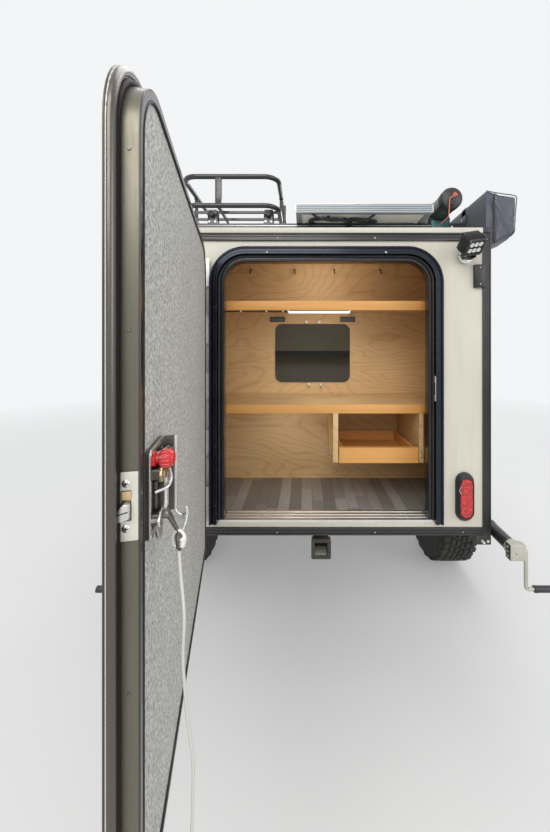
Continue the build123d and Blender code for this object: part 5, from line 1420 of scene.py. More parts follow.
    def link(self):
        """Two rings with their clip, two short rods and a ball chain."""
        link = Piece("latch_link", "rear_door", DOOR)
        for low, across, out, radius, finish in self.LINKS:
            loop = [(898 + across * 8.6 * cos(t), 1138 - low + 11.5 * sin(t), 38 + out * 8.6 * cos(t))
                    for t in [tau * step / 28 for step in range(28)]]
            link.pipe(loop, radius, finish, 10, closed=True)
        link.lathe((904.5, 1137, 43), "b", [(2.6, -6), (4.6, -5), (4.8, 5), (2.6, 6)], "bright steel", 6)
        link.lathe((898, 1127.6, 38), "b", [(2.6, -2), (4.0, -1), (4.2, 3.2), (2.6, 4.4)], "dark steel", 18)
        for points, radius, sides in self.LINK_RODS:
            link.pipe(bent(points, 4, 3), radius, "dark steel", sides)
        for t in [step / 16 for step in range(17)]:
            sway = sin(pi * t)
            link.lathe((876 + 20 * t - 5 * sway, 1171 - 29 * t, 45 - 5 * t + 3 * sway), "b",
                       [(0, -1.3), (1.2, -0.8), (1.4, 0), (1.2, 0.8), (0, 1.3)], "bright steel", 8)
        link.done()

    def outside(self):
        piece = Piece("rear_door_outside", "rear_door", DOOR)
        piece.prism(rounded((814, 897), (1171, 1239), 9, 5), (-42.6, -40.8), "black plastic", 0.8)
        piece.prism(rounded((822, 889), (1180, 1230), 8, 5), (-58.6, -56.6), "black plastic", 0.9)
        piece.lathe((842, 1205, -58.4), "c", [(0, -0.2), (10, -0.2), (10, -2.4), (7.5, -3.4), (0, -3.4)],
                    "silver", 24)
        # The keyhole is a black sliver of painted shade.
        piece.box((840.8, 843.2), (1200.5, 1209.5), (-62.2, -61.6), "recess shade", 0)
        for s in (802, 909):
            for z in (1163, 1247):
                piece.screw(s, z, -41.0, 3.6, up=-1)
        piece.done()
        hinge = Piece("rear_door_hinge_leaves", "rear_door", DOOR)
        low, high = 720, 1760
        knuckle = (high - low) / 9
        for step in range(1, 9, 2):
            z = low + step * knuckle
            hinge.prism(rounded((24, 66), (z + 1.5, z + knuckle - 1.5), 4, 3), (-36.6, -33.0),
                        "edge metal", 0.7)
            for up in (22, knuckle / 2, knuckle - 22):
                hinge.screw(50, z + up, -36.4, 3.8, up=-1)
        hinge.done()

    def execute(self, context):
        self.edges()
        self.edge_plate()
        self.latch()
        self.link()
        self.outside()
        return {"FINISHED"}


# Jacks and receiver

class TRAILER_OT_rear_jacks(bpy.types.Operator):
    """Makes the collars, bolts, welds, grips and brackets of the rear jacks, and the receiver's details"""
    bl_idname = "trailer.rear_jacks"
    bl_label = "Rear jacks"

    SIDE, HEIGHT = 709.5, 631
    AXIS_AT = -107
    # Where the grip starts and ends to the side, and its height
    GRIP_AT = (779, 870.4, 486)
    NUT = ((0, -1), (3.6, -1), (3.6, -3.4), (0, -3.8))
    COLLAR = ((27.2, 0), (29.2, 2), (29.2, 16), (27.2, 18), (25.2, 18), (25.2, 0))
    PIN = ((8.1, 0), (8.1, 22.5), (12.5, 22.6), (12.5, 26.4), (7.2, 28.2), (0, 28.4))
    WASHER = ((8.3, 0), (12.5, 0), (12.5, 1.6), (8.3, 1.6))
    RECEIVER = (-20, 572)

    def jack(self, sign, name):
        x, z = sign * self.SIDE, self.HEIGHT
        axis = self.AXIS_AT
        piece = Piece(f"rear_jack_{name}_parts", f"rear_jack_{name}")
        for across, up in QUARTERS:
            piece.lathe((x + across * 20.5, -123, z + up * 20.5), "b", self.NUT, steps=6)
        turned = Matrix.Translation((0, -93.6, 0)) @ Matrix.Rotation(radians(90), 4, "X")
        piece.prism(rounded(span(x, 29.6), span(z, 29.6), 3.5, 4), (0, 30.8), "zinc", 1.4, turn=turned)
        inner = x - sign * 29.6
        piece.box((inner, inner - sign * 1.2), (-123.5, -94.5), span(z, 28.4), "jack arm", 0.4)
        # A black disc of painted shade stands for a hole.
        piece.lathe((x - 7, -124.3, z - 3), "b", [(0, 0), (2.4, 0), (2.2, -0.5), (0, -0.5)], "recess shade", 10)
        for up in (-17, 0, 17):
            piece.bolt((x - sign * 30.4, -109, z + up), "a", 5.4, 3.4, 3.6, "steel", way=-sign)
        piece.lathe((x, -95, z), "b", self.COLLAR, "zinc", 32)
        piece.lathe((x, 60, z), "b", [(25.1, 0), (27, 1.5), (27, 12), (25.1, 13.5)], "jack arm", 32)
        piece.lathe((x, 394, z), "b", [(20.2, 0), (26.2, 1), (26.2, 9), (20.2, 10)], "jack arm", 32)
        piece.pipe([(a, 438, b) for a, b in circle(x, z, 20.6, 28)], 2.6, "zinc", 8, closed=True)
        # Black discs of painted shade stand for holes.
        for up in (-36, 36):
            piece.bolt((x, 446, z + up), "b", 8, 1.4, 1.6, "recess shade", 18)
        piece.lathe((x + sign * 29, axis, z), "a", [(11, 0), (11, 3), (8.6, 5), (6.6, 5)], "zinc", 24, sign)
        start, stop, low = self.GRIP_AT
        crank = [(sign * a, axis, b) for a, b in ((738.5, z), (748, z), (748, low), (start, low))]
        piece.pipe(bent(crank, 12, 6), 6.9, "zinc", 14)
        piece.done()

        grip = Piece(f"rear_jack_{name}_grip", f"rear_jack_{name}")
        rows = [(0, 0), (12.0, 0.0), (14.2, 0.03), (14.2, 0.07), (12.3, 0.1)]
        for t in [0.14 + 0.1 * step for step in range(8)]:
            rows += [(12.2, t), (13.1, t + 0.025), (13.1, t + 0.055), (12.2, t + 0.08)]
        rows += [(12.6, 0.96), (11.4, 0.995), (0, 1.0)]
        rows = [(r * 0.9, (stop - start) * t) for r, t in rows]
        grip.lathe((sign * start, axis, low), "a", rows, "grip", 24, sign)
        grip.done()

        bracket = Piece(f"jack_bracket_{name}")
        inner = sign * 679
        bracket.lathe((inner, 150, z), "a", self.PIN, steps=20, way=sign)
        for d in (112, 188):
            for up in (-32, 28):
                bracket.bolt((inner, d, z + up), "a", 6.5, 4.6, 4.8, way=sign)
        bracket.done()

        corner = Piece(f"corner_stop_{name}", where=REAR_FACE)
        corner.prism(rounded(span(sign * 646, 30), (590, 626), 3, 3), (-70, 1.5), "chassis", 1.0)
        corner.lathe((sign * 640, 606, 1.0), "c", [(0, 0), (4.8, 0), (4.8, 16), (3.4, 18.5), (0, 18.8)],
                     "panel back", 18)
        corner.bolt((sign * 662, 606, 1.4), "c", 6.4, 4, 4.2)
        corner.done()

    def receiver(self):
        piece = Piece("receiver_parts", where=REAR_FACE)
        x, z = self.RECEIVER

        def square(half, corner):
            return rounded(span(x, half), span(z, half), corner, 4)

        piece.band(square(40.4, 6), square(26.2, 2), (0.0, 3.2), "chassis", 0.8)
        piece.pipe(lifted(square(32.6, 3), -23), 2.4, "chassis", 8, closed=True)
        piece.box(span(x, 24), (z - 26.1, z - 25.0), (-60, -2), "strike", 0.3)
        for sign in (-1, 1):
            piece.lathe((x + sign * 32, z, -64), "a", self.WASHER, "zinc", 20, sign)
        piece.done()

    def execute(self, context):
        for sign, name in SIDES:
            self.jack(sign, name)
        self.receiver()
        return {"FINISHED"}


# Roof

def ends(node):
    """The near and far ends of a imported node, forward of the rear face."""
    low, high = corners(node)
    return low.y - REAR, high.y - REAR


class TRAILER_OT_roof(bpy.types.Operator):
    """Makes the rack's fixings, basket joints, solar cells and cables, water tube caps and lashing"""
    bl_idname = "trailer.roof"
    bl_label = "Roof load"

    BASKET_X = (-662, -212)
    BASKET_Y = (186, 1450)
    RINGS = (2060, 2195)
    POSTS = ((-489, 186), (-385, 1450), (-662, 400), (-662, 800), (-662, 1240), (-212, 400), (-212, 800),
             (-212, 1240))
    TUBE = (560, 2055, 46)
    COLLAR = ((9.1, 8.0), (12.4, 10.4), (11.0, 13), (9.1, 16))
    PAD = ((0, 0), (4, 0), (4, 9), (11, 10), (12.5, 13), (12.5, 20), (10, 23), (0, 24))
    BAR_BOLT = ((0, 0), (6.5, 0), (6.5, 4), (4, 5), (0, 5))
    BOX_SCREW = ((0, 0), (4, 0), (3.6, 1.6), (0, 1.8))
    DRAIN = ((0, 0), (10, 0), (10, 5), (8.4, 6.6), (0, 6.6))
    FILLER = ((22, 0), (22, 8), (25, 8.5), (25, 17), (22, 20), (0, 21))
    BALL = ((0, -6), (4.6, -4), (5.4, 0), (4.2, 4), (0, 6))
    # Where a cable starts and ends and how far it hangs
    CABLES = (((-54, 118), (96, 176), 19), ((96, 168), (225, 126), 21))
    # A cable loop's middle, half width, half depth and radius
    LOOPS = ((35, 200, 97, 52, 7.2), (182, 172, 62, 24, 5.4))
    CLIPS = ((-54, 118), (96, 172), (225, 126), (20, 147))

    def rack(self):
        piece = Piece("rack_fixings")
        low = RACK_TOP - 38
        for at in RACK_AT:
            piece.prism(rounded(span(at, 19.5), (low + 1, RACK_TOP - 0.5), 5, 4), (-663.5, -659.6),
                        "black plastic", 1.2, turn=to_side())
            for side in (-1, 1):
                d = at + side * 20.2
                for z in (low + 9, low + 27):
                    piece.box((-655, 600), span(d, 0.5), span(z, 1.1), "silver", 0.3)
                for x in (-618, 618):
                    piece.lathe((x, d, low + 19), "b", self.BAR_BOLT, steps=6, way=side)
            for x in (-618, 618):
                piece.box(span(x, 36), span(at, 30), (1888, 1892), "black plastic", 1.2)
                for across in (-29, 29):
                    piece.bolt((x + across, at, 1891.6), "c", 6, 3.6, 4.4)
            for z in (RACK_TOP - 56, RACK_TOP + 20):
                piece.bolt((679, at, z), "a", 6, 4, 4.4, way=-1)
        piece.done()

    def basket(self):
        piece = Piece("basket_joints")
        low, high = self.RINGS
        for x, at in self.POSTS:
            for z, way in ((low, 1), (high, -1)):
                piece.lathe((x, at, z), "c", self.COLLAR, "black tube", 20, way)
        x, at = self.POSTS[0]
        piece.box(span(x, 14), (at - 10, at + 9.5), (low + 6, high - 6), "black tube", 1.2)
        left, right = self.BASKET_X
        for at in RACK_AT[:2]:
            for x in (left + 132, right - 49):
                for side in (-1, 1):
                    d = at + side * 18
                    piece.box(span(x, 23), span(d, 1.5), (RACK_TOP - 38, RACK_TOP + 58), "black tube")
                    piece.lathe((x, d + side * 1.4, RACK_TOP + 40), "b", self.PAD, "black plastic", 18, side)
                    for across in (-14, 14):
                        piece.bolt((x + across, d + side * 1.4, RACK_TOP + 8), "b", 4.4, 3.4, 3.8, way=side)
        for sx, sy in QUARTERS:
            x = left if sx > 0 else right
            y = self.BASKET_Y[0 if sy > 0 else 1]
            line = [(x + sx * (65 - 53 * cos(t)), y + sy * (65 - 53 * sin(t)), 2072.5)
                    for t in [radians(90 * step / 8) for step in range(9)]]
            piece.pipe([(*line[0][:2], low)] + line + [(*line[-1][:2], low)], 4.0, "black tube", 8)
        for d in range(266, 1335, 89):
            for x in (left + 12, right - 12):
                piece.lathe((x, d, 2066), "c", [(0, -1.4), (9, -1.0), (8, 1.4), (0, 2.2)], "black tube", 12)
        piece.done()

    def solar(self):
        (left, _, low), (right, _, high) = corners("solar_panel")
        near, far = ends("solar_panel")
        piece = Piece("solar_cells")
        piece.box((left + 12, right - 12), (near + 12, far - 12), (high - 3.2, high + 0.5), "cells", 0.4)
        piece.band(rounded((left, right), (near, far), 3, 3),
                   rounded((left + 12, right - 12), (near + 12, far - 12), 1.5, 3), (high - 1.4, high + 1.2),
                   "silver", 0.4)
        piece.done()

        under = Piece("solar_underside")
        under.box((left + 20, right - 20), (near + 20, far - 20), (low + 3.2, low + 5.0), "panel back", 0.3)
        for z in (low + 8, low + 17.5, low + 27):
            under.box((left + 1, right - 1), (near - 0.7, near + 0.4), span(z, 0.9), "dark steel", 0.2)
        for x in (left, right):
            for y in (near, far):
                under.box(span(x, 1.3), span(y, 1.3), (low + 1, high - 1), "silver", 0.5)
        x, y = left + 150, near + 150
        under.prism(rounded((x, x + 110), (y, y + 74), 10, 4), (low - 17, low + 3.4), "black plastic", 2.0)
        for across in (12, 98):
            under.lathe((x + across, y + 37, low - 17), "c", self.BOX_SCREW, steps=10, way=-1)
        for (x0, y0), (x1, y1), dip in self.CABLES:
            under.pipe([(x0 + (x1 - x0) * t, y0 + (y1 - y0) * t, low + 1.0 - dip * sin(pi * t) ** 0.7)
                        for t in [step / 24 for step in range(25)]], 4.6, "rubber", 10)
        for x, y, wide, deep, radius in self.LOOPS:
            loop = []
            for t in [tau * step / 40 for step in range(40)]:
                across = wide * cos(t) * (1 + 0.08 * sin(2 * t))
                loop.append((x + across, y + deep * sin(t), low - 8 - 5 * cos(t + 0.6)))
            under.pipe(loop, radius, "cable blue", 12, closed=True)
        for x, y in self.CLIPS:
            under.box(span(x, 7), span(y, 5), (low - 1.4, low + 3.2), "black plastic", 0.8)
        for x in (left + 30, right - 30):
            for at in RACK_AT[:2]:
                under.box(span(x, 16), span(at, 24), (low, low + 4.5), "silver", 0.6)
                under.bolt((x, at, low + 4.4), "c", 6, 4.5, 5)
        under.done()

    def tube_caps(self):
        x, z, radius = self.TUBE
        near, far = ends("water_tube")
        rows = [(0, 5.5), (24, 5.5), (27, 3.8), (40, 3.8), (44, 2.4), (radius + 1.6, -3), (radius + 2.4, -6)]
        for d in (-9, -16, -23):
            rows += [(radius + out, d - back) for out, back in ((2.4, 0), (1.4, 1.2), (1.4, 3.4), (2.4, 4.6))]
        rows += [(radius + 2.2, -33), (radius + 0.2, -34), (0, -20)]
        piece = Piece("water_tube_caps")
        for end, way in ((near, -1), (far, 1)):
            piece.lathe((x, end, z), "b", rows, "black plastic", 40, way)
        piece.lathe((x, near - 5.2, z - 27), "b", self.DRAIN, "black plastic", 18, -1)
        piece.lathe((x, near + 240, z + radius - 2), "c", self.FILLER, "black plastic", 26)
        piece.done()

    def saddles(self):
        x, z, radius = self.TUBE
        straps = Piece("water_tube_saddles")
        turns = [radians(-30 + 8 * step) for step in range(31)]
        for at in RACK_AT:
            rows = [[(x + (radius + out) * cos(t), at + d, z + (radius + out) * sin(t)) for t in turns]
                    for out, d in ((3.2, -13), (3.2, 13), (0.5, 13), (0.5, -13))]
            straps.skin(rows, "teal", loop=False, around=True)
            for side in (-1, 1):
                flange = x + side * (radius + 1)
                straps.box(span(flange, 7), span(at, 14), (z - 38, z - 33), "teal")
                straps.box(span(flange, 2.4), span(at, 13), (z - 35, z - 17), "teal", 0.8)
                straps.bolt((flange + side * 2, at, z - 33.4), "c", 5.4, 4, 4.4)
        front = RACK_AT[0] - 21
        straps.box((519, 605), (front - 4, front), (1968, 2006), "teal", 1.4)
        straps.done()

        near, _ = ends("water_tube")
        lashing = Piece("tube_lashing")
        lashing.pipe(knotted((x + 11, near - 6.5, z + 12), 5, 3, 3.4, 60), 2.2, "coral", 8, closed=True)
        line = [(x + 9, near - 7, z + 10), (x - 2, near - 8, z + 3), (x - 13, near - 8, z - 4),
                (x - 15, near - 7, z - 40), (x - 17, near - 6, z - 84), (x - 20, near + 30, z - 88),
                (x - 22, front - 7, z - 86)]
        lashing.pipe(bent(line, 14, 5), 2.1, "coral", 8)
        lashing.lathe((x - 22, front - 7, z - 88), "c", self.BALL, "coral", 14)
        lashing.done()

    def execute(self, context):
        self.rack()
        self.basket()
        self.solar()
        self.tube_caps()
        self.saddles()
        return {"FINISHED"}


class TRAILER_OT_awning(bpy.types.Operator):
    """Makes the awning's cloth bag, settled by a cloth simulation, with its straps, piping and zip"""
    bl_idname = "trailer.awning"
    bl_label = "Awning bag"

    FACE = 684
    ENDS = (47, 2050)
    STRAPS = (250, 900, 1550, 1960)
    CORNERS = ((684, 2069), (820, 2048), (810, 1880), (704, 1830), (684, 1851))
    MIDDLE = (752, 1950)
    AROUND = 72
    # How an end's rings shrink, and how far out they lie
    END_RINGS = ((0.955, 3.0), (0.86, 4.6), (0.68, 5.6), (0.5, 5.8), (0.3, 5.9), (0.1, 6.0))
    # The rear end's zip: where its tapes and teeth run, how far out, their radius and finish
    END_ZIP = ((715, -3.5, 1.8, "strap"), (721, -3.5, 1.8, "strap"), (718, -4.1, 1.3, "dark steel"))
    # Frames of the cloth simulation, and how far it may move a point, in metres
    FRAMES = 16
    CAP = 0.008
    CLOTH = {"quality": 4, "mass": 0.35, "use_pressure": True, "uniform_pressure_force": 1.4,
             "vertex_group_mass": "held", "bending_stiffness": 1.5, "shrink_min": -0.012}

    def section(self):
        """The bag's closed section, its corners rounded, in even steps."""
        found = [Vector((*c, 0)) for c in self.CORNERS]
        route = []
        for i, here in enumerate(found):
            sides = (found[i - 1], found[(i + 1) % len(found)])
            first, last = [here + (other - here).normalized() * 11 for other in sides]
            route += bend(first, here, last, 5)
        route.append(route[0])
        runs = [(b - a).length for a, b in zip(route, route[1:])]
        points, gone, at = [], 0.0, 0
        for i in range(self.AROUND):
            want = i * sum(runs) / self.AROUND
            while gone + runs[at] < want:
                gone += runs[at]
                at += 1
            points.append(route[at].lerp(route[at + 1], (want - gone) / runs[at]).xy)
        return points

    def fold(self, x, y, z, sharp):
        """A fold of the cloth, one along its ridge."""
        return (1 - abs(noise.noise(Vector((x, y, z)))) * sharp) ** 2

    def along(self, steps):
        """Places along the bag, in even steps."""
        near, far = self.ENDS
        return [near + 8 + (far - near - 16) * step / steps for step in range(steps + 1)]

    def outline(self, d):
        """The bag's section at a length: drawn in by its straps, fallen between them and creased."""
        nearest = min(abs(d - s) for s in self.STRAPS + self.ENDS)
        loose = min(1.0, nearest / 150)
        middle = Vector(self.MIDDLE)
        points = []
        for point in self.around:
            away = point - middle
            angle = atan2(away.y, away.x)
            crease = 7.5 * (self.fold(d / 120, angle * 1.3, 2.1, 2.2) - 0.6)
            crease += 3.6 * (self.fold(d / 48 + angle, angle * 2.6, 5.3, 2.4) - 0.55)
            out = crease * (0.35 + 0.65 * loose) - 5.0 * (1 - loose)
            out += 7.0 * loose * max(0.0, -sin(angle))
            out -= size("bag_sag") * loose * max(0.0, sin(angle))
            if point.x < self.FACE + 4:
                out = -1.0
            moved = point + away.normalized() * out
            points.append((max(self.FACE + 1.0, moved.x), moved.y))
        return points

    def end_rings(self, base, way):
        """The creased rings that close an end of the bag."""
        mx, mz = self.MIDDLE
        rings = []
        for shrink, out in self.END_RINGS:
            deep = 6.5 if shrink < 0.95 else 1.3
            ring = []
            for x, y, z in base:
                a, b = mx + (x - mx) * shrink, mz + (z - mz) * shrink
                fold = self.fold(a / 46 + b / 80, b / 95 - a / 130, 9.0 + way, 2.3)
                ring.append((a, y + way * (out - 3.6 + deep * fold), b))
            rings.append(ring)
        return rings

    def bag(self):
        rows = [[(x, d, z) for x, z in self.outline(d)] for d in self.along(130)]
        rows = self.end_rings(rows[0], -1)[::-1] + rows + self.end_rings(rows[-1], 1)
        piece = Piece("awning_bag_cloth")
        piece.skin(rows, "canvas")
        obj = piece.done(60)
        self.settle(obj)
        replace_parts(obj, "awning_bag")

    def settle(self, obj):
        """Lets the cloth settle between its straps, with how far a point may move capped."""
        start = [v.co.copy() for v in obj.data.vertices]
        held = obj.vertex_groups.new(name="held")
        for vert in obj.data.vertices:
            x, y, _ = vert.co / MM
            d = y - REAR
            strapped = min(abs(d - s) for s in self.STRAPS) < 12
            if strapped or x < self.FACE + 8 or not self.ENDS[0] + 4 <= d <= self.ENDS[1] - 4:
                held.add([vert.index], 1.0, "REPLACE")
        cloth = obj.modifiers.new("settle", "CLOTH")
        for name, value in self.CLOTH.items():
            setattr(cloth.settings, name, value)
        cloth.settings.effector_weights.gravity = 0.5
        cloth.collision_settings.use_collision = False
        cloth.point_cache.frame_start = 1
        cloth.point_cache.frame_end = self.FRAMES
        scene = bpy.context.scene
        for number in range(1, self.FRAMES + 1):
            scene.frame_set(number)
        shaped = obj.evaluated_get(bpy.context.evaluated_depsgraph_get()).to_mesh()
        moved = [v.co.copy() for v in shaped.vertices]
        obj.modifiers.remove(cloth)
        scene.frame_set(1)
        for vert, old, new in zip(obj.data.vertices, start, moved):
            step = new - old
            vert.co = old + (step if step.length < self.CAP else step * (self.CAP / step.length))
        obj.vertex_groups.clear()

    def outwards(self, x, z, out):
        """A point of the section moved away from the bag's middle."""
        away = Vector((x - self.MIDDLE[0], z - self.MIDDLE[1])).normalized()
        return x + away.x * out, z + away.y * out

    def wrap(self, piece, d, wide, grow, finish, thick=1.8):
        """A strap that follows the bag's section."""
        points = self.outline(d)
        rows = []
        for out, at in ((grow, -1), (grow + thick, -1), (grow + thick, 1), (grow, 1)):
            line = [self.outwards(x, z, out) for x, z in points]
            rows.append([(max(self.FACE + 0.6, x), d + at * wide / 2, z) for x, z in line])
        piece.skin(rows, finish, around=True)

    def straps(self):
        piece = Piece("awning_straps")
        z = RACK_TOP - 30
        for d in self.STRAPS:
            self.wrap(piece, d, 38, 1.6, "strap")
            for edge in (-15, 15):
                self.wrap(piece, d + edge, 1.6, 3.2, "panel back", 0.7)
            x = max(a for a, b in self.outline(d) if abs(b - z) < 60)
            piece.prism(rounded(span(d, 26), span(z, 24), 5, 4), (x - 1, x + 6), "black plastic", 1.2,
                        turn=to_side())
            piece.box((x + 4, x + 8.5), span(d, 19), span(z, 3), "black plastic")
            piece.box((x - 3, x + 3.0), span(d, 17), (z - 84, z - 22), "strap", 0.5)
        piece.done()

    def zips(self):
        """The long zip with its piping, and the upright one of the rear end with its pull."""
        piece = Piece("awning_zip")
        for index, finish, radius in ((33, "strap", 2.2), (34, "dark steel", 1.5), (35, "strap", 2.2)):
            line = []
            for d in self.along(89):
                x, z = self.outwards(*self.outline(d)[index], 2.4)
                line.append((x, d, z))
            piece.pipe(line, radius, finish, 7)
        near, far = self.ENDS
        for d, inset in ((near + 8, near + 5), (far - 8, far - 5)):
            piece.pipe([(x, inset, z) for x, z in self.outline(d)], 2.0, "canvas", 8, closed=True)
        for x, at, radius, finish in self.END_ZIP:
            line = [(x + 1.5 * sin(z / 19), near + at + 1.2 * sin(z / 31), z) for z in range(1846, 2056, 7)]
            piece.pipe(line, radius, finish, 7)
        piece.box((714, 722), (near - 9, near - 5), (2026, 2038), "dark steel", 1.2)
        piece.box((716, 720), (near - 9.5, near - 7), (2002, 2028), "dark steel", 0.9)
        piece.done()

    def execute(self, context):
        self.around = self.section()
        self.bag()
        self.straps()
        self.zips()
        return {"FINISHED"}


# Wheels and fenders

class TRAILER_OT_wheels(bpy.types.Operator):
    """Makes the tyres with their tread, and the rims' spokes, rivets, valves and hub caps"""
    bl_idname = "trailer.wheels"
    bl_label = "Wheels"

    AXLE = (922, 390)
    MIDDLE = 816
    RADIUS = 390
    # Sections as radius and how far out
    TYRE = ((203, 84), (211, 96), (222, 101), (237, 103), (262, 106), (292, 109.4), (322, 109.6), (345, 107),
            (362, 102.5), (372, 96), (378, 86), (381, 70), (381.6, 35))
    LINER = ((207, 78), (240, 94), (320, 97), (360, 88), (368, 40))
    LIP = ((190, 88.5), (203, 89), (207.5, 91.5), (208, 95), (203, 97.5), (196, 96), (190, 91))
    LOCK_RING = ((168, 88.8), (189, 90.6), (189.6, 92.4), (168, 90.8))
    HUB_RING = ((62, 44.5), (84, 44.2), (92, 46), (90, 50), (80, 52), (66, 50))
    # A spoke's radius, half width and how far out
    SPOKE = ((82, 7.5, 46), (110, 7.0, 58), (146, 6.5, 76), (176, 7.5, 89.6))
    HUB = ((34.5, 0), (36, 2), (35.4, 9), (32, 13), (30, 22), (26, 27), (12, 29), (0, 29.4))
    VALVE = ((0, 0), (5.2, 0), (4.2, 8), (3.2, 12), (3.6, 13), (3.6, 24), (0, 25))
    # A side lug's radius, how far it falls inwards and how far round it lies
    LUG = ((372, 6.5, 0), (345, 0.6, 0.2), (345, 0.6, 0.7), (372, 6.5, 1))
    RIVET = ((0, 0), (4.6, 0), (4.4, 2.6), (2.8, 3.8), (0, 3.8))
    WALL_BOLT = ((0, 0), (7, 0), (7, 1.4), (5, 2.4), (5, 5.5), (0, 6))
    FENDER_BOLT = ((0, 0), (8.5, 0), (8.5, 1.6), (5.5, 1.8), (5.5, 5.5), (0, 6))
    FENDER = ((-440, 665), (-290, 862), (290, 862), (440, 665))

    def turned(self, sign, radius, across, angle):
        """A point of a wheel from its radius, how far out it lies and its angle."""
        return (sign * (self.MIDDLE + across), self.AXLE[0] + radius * cos(angle),
                self.AXLE[1] + radius * sin(angle))

    def ring(self, piece, sign, rows, finish, steps=72):
        """A closed section turned about the axle."""
        turns = [tau * i / steps for i in range(steps)]
        piece.skin([[self.turned(sign, r, w, t) for t in turns] for r, w in rows], finish, around=True)

    def block(self, piece, sign, across, start, lean, low, high):
        """One tread block: four corners across and around, drawn in towards its top."""
        rows = []
        for radius, inset in ((low, 0.0), (high - 2.5, 0.6), (high, 2.2)):
            turn = inset / self.RADIUS
            a0, a1 = start + turn, start + self.long - turn
            w0, w1 = across[0] + inset, across[1] - inset
            rows.append([self.turned(sign, radius, w, a) for w, a in
                         ((w0, a0), (w1, a0 + lean), (w1, a1 + lean), (w0, a1))])
        piece.skin(rows, "tyre")

    def tyre(self, sign, name):
        piece = Piece(f"tyre_{name}_rubber", f"wheel_{name}")
        outside, inside = list(self.TYRE), list(self.LINER)
        rows = outside + [(r, -w) for r, w in reversed(outside)] + [(r, -w) for r, w in inside] + inside[::-1]
        self.ring(piece, sign, rows, "tyre", 96)
        for side in (1, -1):
            for radius, wide in ((228, 102.2), (345, 107.4)):
                self.ring(piece, sign, [(radius - 2.2, side * wide), (radius, side * (wide + 1.2)),
                                        (radius + 2.2, side * wide)], "tyre")
        count = 2 * (bpy.context.scene.trailer_sizes.tread_blocks // 2)
        step = tau / count
        self.long = step * 0.66
        top = self.RADIUS
        low = top - size("tread_depth") - 1.5
        for i in range(count):
            at, odd = i * step, i % 2
            for side in (1, -1):
                shift = at if side > 0 else at + step / 2
                outer = 99 if odd else 94
                across = sorted((side * 62, side * outer))
                self.block(piece, sign, across, shift, 0.012 * side, low, top - 1.2)
                across = sorted((side * 30, side * 56))
                twist = 0.022 * side * (1 if odd else -1)
                self.block(piece, sign, across, shift + step * 0.35, twist, low, top)
                if not odd:
                    rows = [[self.turned(sign, r, side * (w - fall), shift + self.long * part)
                             for r, fall, part in self.LUG] for w in (104.5, 108.9)]
                    piece.skin(rows, "tyre")
            self.block(piece, sign, (-24, -3), at, 0.02, low, top)
            self.block(piece, sign, (3, 24), at + step / 2, -0.02, low, top)
        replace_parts(piece.done(), f"tyre_{name}")

    def rim(self, sign, name):
        piece = Piece(f"rim_{name}_parts", f"wheel_{name}")
        self.ring(piece, sign, self.LIP, "wheel black", 64)
        self.ring(piece, sign, self.LOCK_RING, "galvanised", 64)
        for i in range(24):
            piece.lathe(self.turned(sign, 179, 91, tau * (i + 0.5) / 24), "a", self.RIVET, steps=6, way=sign)
        for i in range(8):
            for split in (-1, 1):
                rows = []
                for radius, wide, out in self.SPOKE:
                    here = tau * i / 8 + 0.2 + split * (0.02 + 0.13 * (radius - 82) / 94)
                    half = wide / radius
                    edge = ((out - 14, -half), (out, -half * 0.8), (out, half * 0.8), (out - 14, half))
                    rows.append([self.turned(sign, radius, w, here + a) for w, a in edge])
                piece.skin(rows, "wheel black", bevel=1.2)
        self.ring(piece, sign, self.HUB_RING, "wheel black", 48)
        piece.lathe(self.turned(sign, 0, 58, 0), "a", self.HUB, "wheel black", 36, sign)
        piece.lathe(self.turned(sign, 158, 60, 1.35), "a", self.VALVE, "rubber", 12, sign)
        piece.done()

    def fender(self, sign, name):
        piece = Piece(f"fender_{name}_edges")
        d = self.AXLE[0]
        for x, up, corner, steps, radius, sides in ((931.5, 0, 30, 6, 4.2, 10), (675, 1, 12, 4, 3.4, 8)):
            line = [(sign * x, d + y, z + up) for y, z in self.FENDER]
            piece.pipe(bent(line, corner, steps), radius, "rubber", sides)
        for y in (-240, -120, 0, 120, 240):
            piece.lathe((sign * 676, d + y, 880), "a", self.WALL_BOLT, steps=6, way=sign)
        for way in (-1, 1):
            tilt = Matrix.Rotation(-way * atan2(197, 150), 4, "X")
            for x in (720, 885):
                spot = Matrix.Translation((sign * x, d + way * 365, 763.5)) @ tilt
                piece.lathe((0, 0, 0), "c", self.FENDER_BOLT, steps=12, turn=spot)
        for y, finish in ((d - 262, "red lens"), (d + 262, "amber lens")):
            out = to_side(sign)
            piece.prism(rounded(span(y, 30), (826, 846), 9, 5), (931.6, 941), "black plastic", 1.4, turn=out)
            piece.prism(rounded(span(y, 24), (829, 843), 6.5, 5), (940, 944.5), finish, 1.8, turn=out)
        piece.done()

    def execute(self, context):
        for sign, name in SIDES:
            self.tyre(sign, name)
            self.rim(sign, name)
            self.fender(sign, name)
        return {"FINISHED"}


# Side doors, tongue and toolbox

